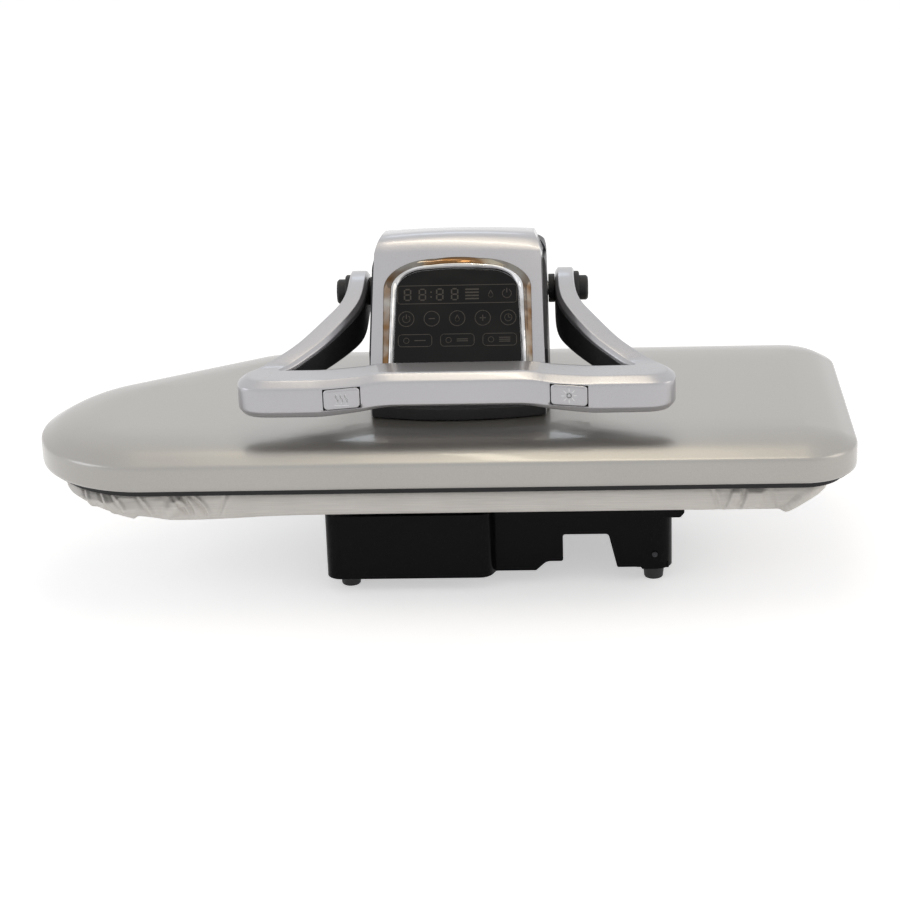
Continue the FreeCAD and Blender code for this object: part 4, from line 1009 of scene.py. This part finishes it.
def make_panel_marks():
    """Unlit marks behind the glass: display strip, five round keys and three long keys."""
    ink = Ink(on_panel(GLASS_RISE - 0.02), OUT * 0.12)
    strip_v = 63.5
    ink.frame(0.0, strip_v, 96.0, 15.0, 2.5)
    for u in (-40.0, -28.0, -14.0, -2.0):
        digit_marks(ink, u, strip_v, 9.0)
    for side in (-1, 1):
        ink.bar(-21.0, strip_v + side * 2.0, 1.2, 1.2)
    for level in range(4):
        ink.bar(12.0, strip_v - 3.9 + 2.6 * level, 11.0, 1.3)
    drop_mark(ink, 27.0, strip_v - 0.5, 3.4)
    ink.arc(40.0, strip_v, 3.6, math.radians(120), math.radians(420), 0.7)
    ink.bar(40.0, strip_v + 2.6, 0.8, 3.8)
    key_v = 43.5
    for i, u in enumerate((-41.0, -20.5, 0.0, 20.5, 41.0)):
        ink.arc(u, key_v, 6.2, 0.0, 2 * math.pi, 0.7, 28)
        if i == 0:
            ink.arc(u, key_v, 3.0, math.radians(130), math.radians(410), 0.7)
            ink.bar(u, key_v + 2.0, 0.8, 3.6)
        elif i in (1, 3):
            ink.bar(u, key_v, 5.0, 0.8)
            if i == 3:
                ink.bar(u, key_v, 0.8, 5.0)
        elif i == 2:
            drop_mark(ink, u, key_v - 0.3, 3.0)
        else:
            ink.arc(u, key_v, 2.9, 0.0, 2 * math.pi, 0.6)
            ink.path([(u, key_v + 1.9), (u, key_v), (u + 1.5, key_v)], 0.6)
    long_v = 25.5
    for i, u in enumerate((-34.0, 0.0, 34.0)):
        ink.frame(u, long_v, 27.0, 10.0, 3.0)
        ink.arc(u - 7.0, long_v, 2.2, 0.0, 2 * math.pi, 0.6, 14)
        for line in range(i + 1):
            ink.bar(u + 4.0, long_v + 1.6 * (line - i / 2), 9.0, 0.8)
    ink.form.piece("panel_marks", "press_arm", "panel_marks", angle=30.0)


# Handle loop, measured from the arm's middle plane
BAR_HEIGHT, BAR_DEPTH, BAR_SAG, WAVE_LOW, WAVE_HIGH = 27.0, 34.0, 2.8, 8.5, 4.9
FACE_LOW, FACE_DROP = 3.2, 5.1
EYE_RADIUS, ARM_HALF, ARM_WIDTH = 18.0, 86.0, 16.0
# Ends of the sections round the bar's corner and along the arm: inner x, y and outer x, y
ARM_ENDS = (
    (136.0, -80.0, 150.0, -114.0), (138.5, -79.5, 161.0, -113.0), (139.5, -78.8, 170.0, -107.5),
    (139.5, -78.0, 173.0, -98.0), (138.5, -77.0, 172.5, -89.5), (136.5, -75.0, 168.5, -83.5),
    (131.0, -69.0, 160.0, -75.0), (122.0, -59.0, 146.4, -60.5), (108.5, -43.0, 131.0, -43.5),
    (96.5, -23.0, 119.0, -23.0), (87.0, -4.0, 108.0, -4.0), (80.5, 12.0, 99.0, 11.0),
    (78.3, 28.0, 95.0, 28.0), (78.0, 46.0, 94.0, 46.0),
)


def arm_heights(y):
    """Lower and upper edge of the handle's arm at a distance from the board's middle."""
    eye_low, eye_high = PIVOT.z - EYE_RADIUS, PIVOT.z + EYE_RADIUS
    bends = ((-97.0, -BAR_SAG), (-80.0, 0.0), (-58.0, 9.0), (-46.0, 11.5), (-7.0, 16.0), (18.0, 19.5), (34.0, 24.5), (46.0, eye_low - BAR_BOTTOM))
    rise = bends[0][1] if y < bends[0][0] else bends[-1][1]
    for (start, lower), (end, upper) in zip(bends, bends[1:]):
        if start <= y < end:
            rise = lower + (upper - lower) * (y - start) / (end - start)
    climb = min(max((y + 72.0) / 120.0, 0.0), 1.0)
    bar_top = BAR_BOTTOM + BAR_HEIGHT
    return BAR_BOTTOM + rise, bar_top + (eye_high - bar_top) * climb


def placed(x, y, bottom, top, heading, width):
    """Matrix of a station: the section's u points out of the loop, its v upwards."""
    turn = math.radians(heading)
    along = Vector((math.cos(turn), math.sin(turn), 0))
    outward = Vector((math.sin(turn), -math.cos(turn), 0)) * width / 2
    upward = Vector((0, 0, (top - bottom) / 2))
    middle = Vector((ARM_X + x, y, (bottom + top) / 2))
    return Matrix((
        (along.x, outward.x, upward.x, middle.x),
        (along.y, outward.y, upward.y, middle.y),
        (along.z, outward.z, upward.z, middle.z),
        (0, 0, 0, 1)))


def tightened(corners, tight):
    """Section with each corner split in two, so that it stays narrow when the skin is rounded."""
    points = []
    for i, corner in enumerate(corners):
        for neighbour in (corners[i - 1], corners[(i + 1) % len(corners)]):
            step = Vector(neighbour) - Vector(corner)
            points.append(Vector(corner) + step * min(tight / step.length, 0.4))
    return points


def handle_section(share, chamfer, height, foot):
    """Section of the loop: chamfered in front at the bar, and on the inner edge along the arm."""
    out_u, out_v = chamfer + (0.20 - chamfer) * share, 2 * FACE_DROP / height * (1 - share) + 0.14 * share
    in_u, in_v = 0.10 + 0.22 * share, 0.12 + 0.10 * share
    low_v = 2 * foot / height * (1 - share) + 0.24 * share
    corners = [(-1.0, -1.0), (0.80, -1.0), (1.0, low_v - 1.0), (1.0, 1.0 - out_v), (1.0 - out_u, 1.0),
               (in_u - 1.0, 1.0), (-1.0, 1.0 - in_v)]
    return tightened(corners, 0.022)


def handle_stations():
    """Stations of the loop from eye to eye: matrix, share of the arm's section, height, height of the lower edge."""
    button = (high("steam_button_right").x + low("steam_button_right").x) / 2 - ARM_X
    pocket = (high("steam_button_right").x - low("steam_button_right").x) / 2 + 0.9
    half = []
    bar_y = BAR_DEPTH / 2 - HANDLE_FRONT
    wave = ((0.0, 1.0, 1.0), (26.0, 1.0, 1.0), (44.0, 1.0, 1.0), (52.0, 0.95, 1.0), (60.0, 0.82, 0.93), (67.0, 0.66, 0.74),
            (button - pocket, 0.48, 0.48), (button + pocket, 0.0, 0.0), (115.0, 0.0, 0.0), (128.0, 0.0, 0.0))
    for x, low_share, high_share in wave:
        bottom = BAR_BOTTOM - BAR_SAG + WAVE_LOW * low_share
        lift = WAVE_HIGH * high_share
        half.append((x, bar_y, bottom, BAR_BOTTOM + BAR_HEIGHT + lift, 0.0, BAR_DEPTH, 0.0,
                     BAR_BOTTOM + FACE_LOW + lift - bottom))
    for i, (inner_x, inner_y, outer_x, outer_y) in enumerate(ARM_ENDS):
        across = Vector((outer_x - inner_x, outer_y - inner_y))
        bottom, top = arm_heights((inner_y + outer_y) / 2)
        heading = math.degrees(math.atan2(across.x, -across.y))
        half.append(((inner_x + outer_x) / 2, (inner_y + outer_y) / 2, bottom, top, heading, across.length,
                     min(max((i - 2) / 5, 0.0), 1.0), BAR_BOTTOM + FACE_LOW - bottom))
    for turn in (0.0, 25.0, 50.0, 70.0, 82.0):
        tall = EYE_RADIUS * math.cos(math.radians(turn))
        y = PIVOT.y + EYE_RADIUS * math.sin(math.radians(turn))
        half.append((ARM_HALF, y, PIVOT.z - tall, PIVOT.z + tall, 90.0, ARM_WIDTH, 1.0, 0.0))
    left = [(-station[0], *station[1:4], -station[4], *station[5:]) for station in half[:0:-1]]
    return [(placed(*station[:6]), station[6], station[3] - station[2], station[7]) for station in left + half]


def make_handle():
    """Silver handle loop with its chamfered bar, raised in the middle, and the two button pockets."""
    chamfer = 2.0 * bpy.context.scene.press_sizes.chamfer / MM / BAR_DEPTH
    stations = handle_stations()
    places = [place for place, share, height, foot in stations]
    form = Form()
    form.sweep([handle_section(share, chamfer, height, foot) for place, share, height, foot in stations], places)
    crease = form.bm.edges.layers.float.new("crease_edge")
    bmesh.ops.recalc_face_normals(form.bm, faces=form.bm.faces[:])
    for node in ("steam_button_left", "steam_button_right"):
        middle = (low(node) + high(node)) / 2
        front = min((face for face in form.bm.faces if face.normal.y < -0.9),
                    key=lambda item: (item.calc_center_median() - middle).length)
        form.inset(front, 0.15)
        pushed = form.extrude(front, (0, 10.0, 0), keep=False)
        walls = {face for edge in pushed.edges for face in edge.link_faces}
        rim = {edge for face in walls for edge in face.edges}
        for face in {face for edge in rim for face in edge.link_faces}:
            for edge in face.edges:
                edge[crease] = 1.0
    form.piece("handle_loop", "handle", "silver_plastic", ["handle_shell"], rounds=2)
    liner = tightened([(-1.03, -0.93), (-0.72, -0.93), (-0.72, 0.60), (-1.03, 0.60)], 0.04)
    strip = Form()
    strip.sweep([liner] * len(places[3:-3]), places[3:-3])
    strip.piece("handle_inner_liner", "handle", "matt_black", ["handle_liner"], rounds=2)


def puff_mark(ink, x, z):
    """Three rising wisps of steam over a short line."""
    for side in (-1, 0, 1):
        points = []
        for step in range(9):
            share = step / 8
            points.append((x + 3.6 * side + 1.0 * math.sin(2 * math.pi * share), z - 3.2 + 7.0 * share))
        ink.path(points, 0.8)
    ink.bar(x, z - 5.0, 11.5, 0.8)


def burst_mark(ink, x, z):
    """Rays of a steam burst round a small ring."""
    ink.arc(x, z, 1.8, 0.0, 2 * math.pi, 0.8, 16)
    for ray in range(8):
        turn = ray * math.pi / 4
        ink.stroke(x + 4.6 * math.cos(turn), z + 4.6 * math.sin(turn), 3.0, turn, 0.8)


def make_buttons():
    """Two steam buttons with a raised rim edge, each with its printed symbol."""
    for node, mark in (("steam_button_left", puff_mark), ("steam_button_right", burst_mark)):
        lowest, highest = low(node), high(node)
        cap_low, cap_high = BAR_BOTTOM + FACE_LOW + 1.0, BAR_BOTTOM + BAR_HEIGHT - FACE_DROP - 1.0
        corners = [(highest.x, cap_low, 3.2), (lowest.x, cap_low, 3.2), (lowest.x, cap_high, 3.2),
                   (highest.x, cap_high, 3.2)]
        lift = 0.48 * WAVE_HIGH
        middle = (lowest.x + highest.x) / 2
        inward = math.copysign(lift / (highest.x - lowest.x), ARM_X - middle)
        corners = [(x, z + lift / 2 + inward * (x - middle), radius) for x, z, radius in corners]
        form = Form()
        face = form.outline(corners[::-1], on_front(highest.y), 6)
        face = form.extrude(face, (0, lowest.y + 0.8 - highest.y, 0))
        form.bm.normal_update()
        if face.normal.y > 0:
            bmesh.ops.reverse_faces(form.bm, faces=[face])
        for thickness, depth in ((0.35, 0.45), (0.5, 0.3), (0.7, 0.05), (0.3, -0.2), (0.3, 0.0)):
            form.inset(face, thickness, depth)
        form.piece(node + "_cap", node, "silver_plastic", [node], angle=35.0)
        ink = Ink(on_front(lowest.y + 0.3), Vector((0, -0.25, 0)))
        mark(ink, middle, (cap_low + cap_high + lift) / 2)
        ink.form.piece(node + "_mark", node, "steel", angle=30.0)


def make_pivots():
    """Black stepped bosses on the handle's eyes, with a screw in the middle."""
    face = ARM_HALF + ARM_WIDTH / 2
    reach = high("pivot_caps").x - ARM_X - face
    bosses, screws = Form(), Form()
    for side in (-1, 1):
        start = Vector((ARM_X + side * (face - 0.5), PIVOT.y, PIVOT.z))
        profile = [(0.0, 0.0), (14.0, 0.0), (14.0, 3.6), (13.0, 4.8), (10.4, 5.0), (10.4, reach - 1.6), (9.0, reach),
                   (5.4, reach + 0.4), (5.2, reach - 1.2), (0.0, reach - 1.2)]
        bosses.lathe(profile, start, (side, 0, 0))
        head = [(0.0, reach - 1.6), (4.4, reach - 1.6), (4.4, reach - 0.2), (3.6, reach + 0.2), (0.0, reach + 0.35)]
        screws.lathe(head, start, (side, 0, 0), 24)
    bosses.piece("pivot_bosses", "handle", "matt_black", ["pivot_caps"], angle=40.0)
    screws.piece("pivot_screws", "handle", "steel", angle=40.0)


def make_base():
    """Black mouldings of base, rear column and water tank with rounded edges."""
    edge = bpy.context.scene.press_sizes.edge / MM
    mouldings = (
        ("base_housing", "base", "gloss_black", edge), ("rear_column", "base", "gloss_black", 1.5 * edge),
        ("column_cover", "base", "matt_black", 0.8 * edge), ("bottom_plates", "base", "matt_black", 0.5 * edge),
        ("board_tray", "base", "steel", 0.5 * edge), ("rubber_feet", "base", "rubber", edge), ("cord_gland", "base", "rubber", 0.5 * edge),
        ("water_tank", "water_tank", "gloss_black", 1.5 * edge), ("pivot_spacers", "press_arm", "matt_black", 0.5 * edge),
    )
    for node, body, slot, width in mouldings:
        form = Form()
        form.copy_node(node)
        if node == "board_tray":
            droop(form)
        form.piece(node + "_moulding", body, slot, [node], bevel=width)
    wall = high("base_housing").x
    lip = Form()
    face = lip.outline([(wall - 20.0, BASE_TOP - 11.0, 0.0), (wall - 3.6, BASE_TOP - 11.0, 2.5),
                        (wall - 0.4, BASE_TOP - 7.0, 1.5), (wall - 0.4, BASE_TOP - 3.0, 0.5),
                        (wall - 20.0, BASE_TOP - 3.0, 0.0)], on_front(low("base_housing").y + 2.0))
    lip.extrude(face, (0, 110.0, 0))
    lip.piece("base_lip", "base", "gloss_black", bevel=0.5 * edge)


def screw(form, place, axis, radius):
    """Pan-head screw with a cross recess."""
    form.lathe([(0.0, -0.3), (radius, -0.3), (radius, 0.35 * radius), (0.75 * radius, 0.6 * radius),
                (0.0, 0.7 * radius)], place, axis, 20)


def make_screws():
    """Screws under the base and one in the front of the base, and the caps on the hinge shaft."""
    under = Form()
    lowest, highest = low("bottom_plates"), high("bottom_plates")
    for x, y in ((-86.0, 40.0), (24.0, -70.0), (24.0, 40.0), (ARM_X - 45, 75.0), (ARM_X + 45, 75.0),
                 (ARM_X, 212.0)):
        screw(under, (x, y, lowest.z), (0, 0, -1), 3.2)
    under.piece("bottom_screws", "base", "steel", angle=40.0)
    front = Form()
    screw(front, (ARM_X + 156.5, low("base_housing").y, 25.8), (0, -1, 0), 2.2)
    front.piece("front_screw", "base", "dark_housing", angle=40.0)
    caps = Form()
    half = high("hinge_shaft").x - ARM_X
    for side in (-1, 1):
        caps.lathe([(0.0, -0.2), (11.0, -0.2), (11.0, 1.2), (9.6, 2.2), (4.0, 2.8), (0.0, 2.9)],
                   (ARM_X + side * half, HINGE.y, HINGE.z), (side, 0, 0), 40)
    caps.piece("hinge_caps", "base", "matt_black", angle=40.0)


def dress_frame():
    """Give every CAD node that stays in view the finish of its slot."""
    slot_of = {row["node"]: row["material_slot"] for row in frame["record"]["subparts"]}
    for name, node in frame["nodes"].items():
        node.data.materials.clear()
        node.data.materials.append(finishes[slot_of[name]])


def aim(camera, place, target, roll):
    """Turn a camera at a place to a target, with a roll in degrees."""
    forward = (Vector(target) - Vector(place)).normalized()
    right = forward.cross(Vector((0, 0, 1))).normalized()
    upward = right.cross(forward)
    turn = math.radians(roll)
    tilted = right * math.cos(turn) + upward * math.sin(turn)
    upright = upward * math.cos(turn) - right * math.sin(turn)
    camera.matrix_world = Matrix((
        (tilted.x, upright.x, -forward.x, place[0]),
        (tilted.y, upright.y, -forward.y, place[1]),
        (tilted.z, upright.z, -forward.z, place[2]),
        (0, 0, 0, 1)))


def add_lamp(name, place, target, size, power, colour):
    """Soft rectangular lamp that looks at a target."""
    lamp = bpy.data.lights.new(name, "AREA")
    lamp.shape = "RECTANGLE"
    lamp.size, lamp.size_y = size
    lamp.energy = power
    lamp.color = colour
    thing = bpy.data.objects.new(name, lamp)
    bpy.context.scene.collection.objects.link(thing)
    thing.location = place
    thing.rotation_euler = (Vector(target) - Vector(place)).to_track_quat("-Z", "Y").to_euler()


def make_stage():
    """Pale floor and backdrop, soft studio light, and the camera of the photograph."""
    scene = bpy.context.scene
    scene.view_settings.view_transform = "Standard"
    form = bmesh.new()
    bmesh.ops.create_grid(form, x_segments=1, y_segments=1, size=14.0)
    mesh = bpy.data.meshes.new("floor")
    form.to_mesh(mesh)
    form.free()
    floor = bpy.data.objects.new("floor", mesh)
    scene.collection.objects.link(floor)
    paper = Finish("floor_paper")
    grain = paper.noise(40.0, 2.0)
    paper.sheets(Base_Color=paper.mix(grain, (0.80, 0.80, 0.80, 1.0), (0.84, 0.84, 0.84, 1.0)), Roughness=0.9)
    rays = [paper.node("ShaderNodeLightPath", {}, {}, "Is " + ray + " Ray")
            for ray in ("Camera", "Glossy", "Transmission")]
    seen = rays[0].maths("MAXIMUM", rays[0].maths("MAXIMUM", rays[0], rays[1]), rays[2])
    paper.sheets(Emission_Color=paper.mix(seen, (0.0, 0.0, 0.0, 1.0), (1.0, 1.0, 1.0, 1.0)), Emission_Strength=0.50)
    mesh.materials.append(paper.material)
    world = bpy.data.worlds.new("studio")
    scene.world = world
    world.use_nodes = True
    tree = world.node_tree
    paths = tree.nodes.new("ShaderNodeLightPath")
    seen = tree.nodes.new("ShaderNodeMath")
    seen.operation = "MAXIMUM"
    clear = tree.nodes.new("ShaderNodeMath")
    clear.operation = "MAXIMUM"
    backdrop = tree.nodes.new("ShaderNodeMix")
    backdrop.data_type = "RGBA"
    backdrop.inputs[6].default_value = (0.58, 0.58, 0.59, 1.0)
    backdrop.inputs[7].default_value = (1.0, 1.0, 1.0, 1.0)
    tree.links.new(paths.outputs["Is Camera Ray"], seen.inputs[0])
    tree.links.new(paths.outputs["Is Glossy Ray"], seen.inputs[1])
    tree.links.new(seen.outputs[0], clear.inputs[0])
    tree.links.new(paths.outputs["Is Transmission Ray"], clear.inputs[1])
    tree.links.new(clear.outputs[0], backdrop.inputs[0])
    tree.links.new(backdrop.outputs[2], tree.nodes["Background"].inputs["Color"])
    middle = (0.0, MIDDLE_Y, 0.12)
    add_lamp("top_light", (0.10, -0.02, 1.9), middle, (1.5, 0.6), 2.4, (1.0, 0.85, 0.56))
    add_lamp("strip_light", (0.05, -0.02, 1.85), middle, (1.6, 0.06), 2.4, (1.0, 0.90, 0.72))
    add_lamp("back_light", (-0.12, 1.55, 1.40), middle, (0.5, 0.3), 0.6, (0.72, 0.86, 1.0))
    add_lamp("right_light", (1.6, -0.5, 0.8), middle, (0.8, 1.2), 3.5, (1.0, 0.93, 0.84))
    add_lamp("left_light", (-1.7, -0.6, 0.9), middle, (0.8, 1.2), 3.5, (0.90, 0.94, 1.0))
    lens = bpy.data.cameras.new("camera")
    lens.sensor_fit = "HORIZONTAL"
    lens.sensor_width = 36.0
    lens.lens = 97.456
    camera = bpy.data.objects.new("camera", lens)
    scene.collection.objects.link(camera)
    aim(camera, (0.10888, -1.90286 + MIDDLE_Y, 0.81847), (0.00229, MIDDLE_Y, 0.08994), -1.978)
    scene.camera = camera


class PRESS_OT_finishes(bpy.types.Operator):
    """Make the finishes and give them to the nodes of the frame."""

    bl_idname = "press.finishes"
    bl_label = "Finishes"

    def execute(self, context):
        finishes.update(make_finishes())
        dress_frame()
        return {"FINISHED"}


class PRESS_OT_plate(bpy.types.Operator):
    """Make the silver shell of the pressing plate."""

    bl_idname = "press.plate"
    bl_label = "Pressing plate"

    def execute(self, context):
        make_plate_shell()
        return {"FINISHED"}


class PRESS_OT_board(bpy.types.Operator):
    """Make the foam pad and the cloth cover of the board."""

    bl_idname = "press.board"
    bl_label = "Ironing board"

    def execute(self, context):
        make_foam_pad()
        make_board_cover()
        return {"FINISHED"}


class PRESS_OT_tower(bpy.types.Operator):
    """Make the tower's silver cover, dark housing and foot."""

    bl_idname = "press.tower"
    bl_label = "Tower"

    def execute(self, context):
        make_tower_cover()
        make_tower_housing()
        return {"FINISHED"}


class PRESS_OT_control_panel(bpy.types.Operator):
    """Make the chrome arch, the glass and its marks."""

    bl_idname = "press.control_panel"
    bl_label = "Control panel"

    def execute(self, context):
        make_bezel()
        make_glass()
        make_panel_marks()
        return {"FINISHED"}


class PRESS_OT_handle(bpy.types.Operator):
    """Make the handle loop, its liner and its pivot bosses."""

    bl_idname = "press.handle"
    bl_label = "Handle"

    def execute(self, context):
        make_handle()
        make_pivots()
        return {"FINISHED"}


class PRESS_OT_buttons(bpy.types.Operator):
    """Make the two steam buttons with their symbols."""

    bl_idname = "press.buttons"
    bl_label = "Steam buttons"

    def execute(self, context):
        make_buttons()
        return {"FINISHED"}


class PRESS_OT_base(bpy.types.Operator):
    """Make the mouldings of base, column and water tank."""

    bl_idname = "press.base"
    bl_label = "Base"

    def execute(self, context):
        make_base()
        return {"FINISHED"}


class PRESS_OT_fasteners(bpy.types.Operator):
    """Make the screws and the caps of the hinge shaft."""

    bl_idname = "press.fasteners"
    bl_label = "Fasteners"

    def execute(self, context):
        make_screws()
        return {"FINISHED"}


class PRESS_OT_stage(bpy.types.Operator):
    """Make the floor, the lamps and the camera."""

    bl_idname = "press.stage"
    bl_label = "Stage"

    def execute(self, context):
        make_stage()
        return {"FINISHED"}


class PRESS_PT_sidebar(bpy.types.Panel):
    """Sidebar page with the pieces of the press and their settings."""

    bl_idname = "PRESS_PT_sidebar"
    bl_label = "Steam ironing press"
    bl_space_type = "VIEW_3D"
    bl_region_type = "UI"
    bl_category = "Press"

    def draw(self, context):
        for piece in PIECES:
            self.layout.operator(piece.bl_idname)
        for group in (context.scene.press_sizes, context.scene.press_colours):
            for setting in group.bl_rna.properties:
                if setting.identifier not in ("rna_type", "name"):
                    self.layout.prop(group, setting.identifier)


PIECES = (
    PRESS_OT_finishes,
    PRESS_OT_plate,
    PRESS_OT_board,
    PRESS_OT_tower,
    PRESS_OT_control_panel,
    PRESS_OT_handle,
    PRESS_OT_buttons,
    PRESS_OT_base,
    PRESS_OT_fasteners,
    PRESS_OT_stage,
)
SETTINGS = (PressColours, PressSizes)


def register():
    """Make the settings, operators and the sidebar page known."""
    for kind in SETTINGS + PIECES + (PRESS_PT_sidebar,):
        bpy.utils.register_class(kind)
    bpy.types.Scene.press_colours = bpy.props.PointerProperty(type=PressColours)
    bpy.types.Scene.press_sizes = bpy.props.PointerProperty(type=PressSizes)


def unregister():
    """Take everything back."""
    del bpy.types.Scene.press_sizes
    del bpy.types.Scene.press_colours
    for kind in reversed(SETTINGS + PIECES + (PRESS_PT_sidebar,)):
        bpy.utils.unregister_class(kind)


def main():
    """Build every piece in order."""
    register()
    bpy.ops.press.finishes()
    bpy.ops.press.stage()
    bpy.ops.press.plate()
    bpy.ops.press.board()
    bpy.ops.press.tower()
    bpy.ops.press.control_panel()
    bpy.ops.press.handle()
    bpy.ops.press.buttons()
    bpy.ops.press.base()
    bpy.ops.press.fasteners()


if __name__ == "__main__":
    main()
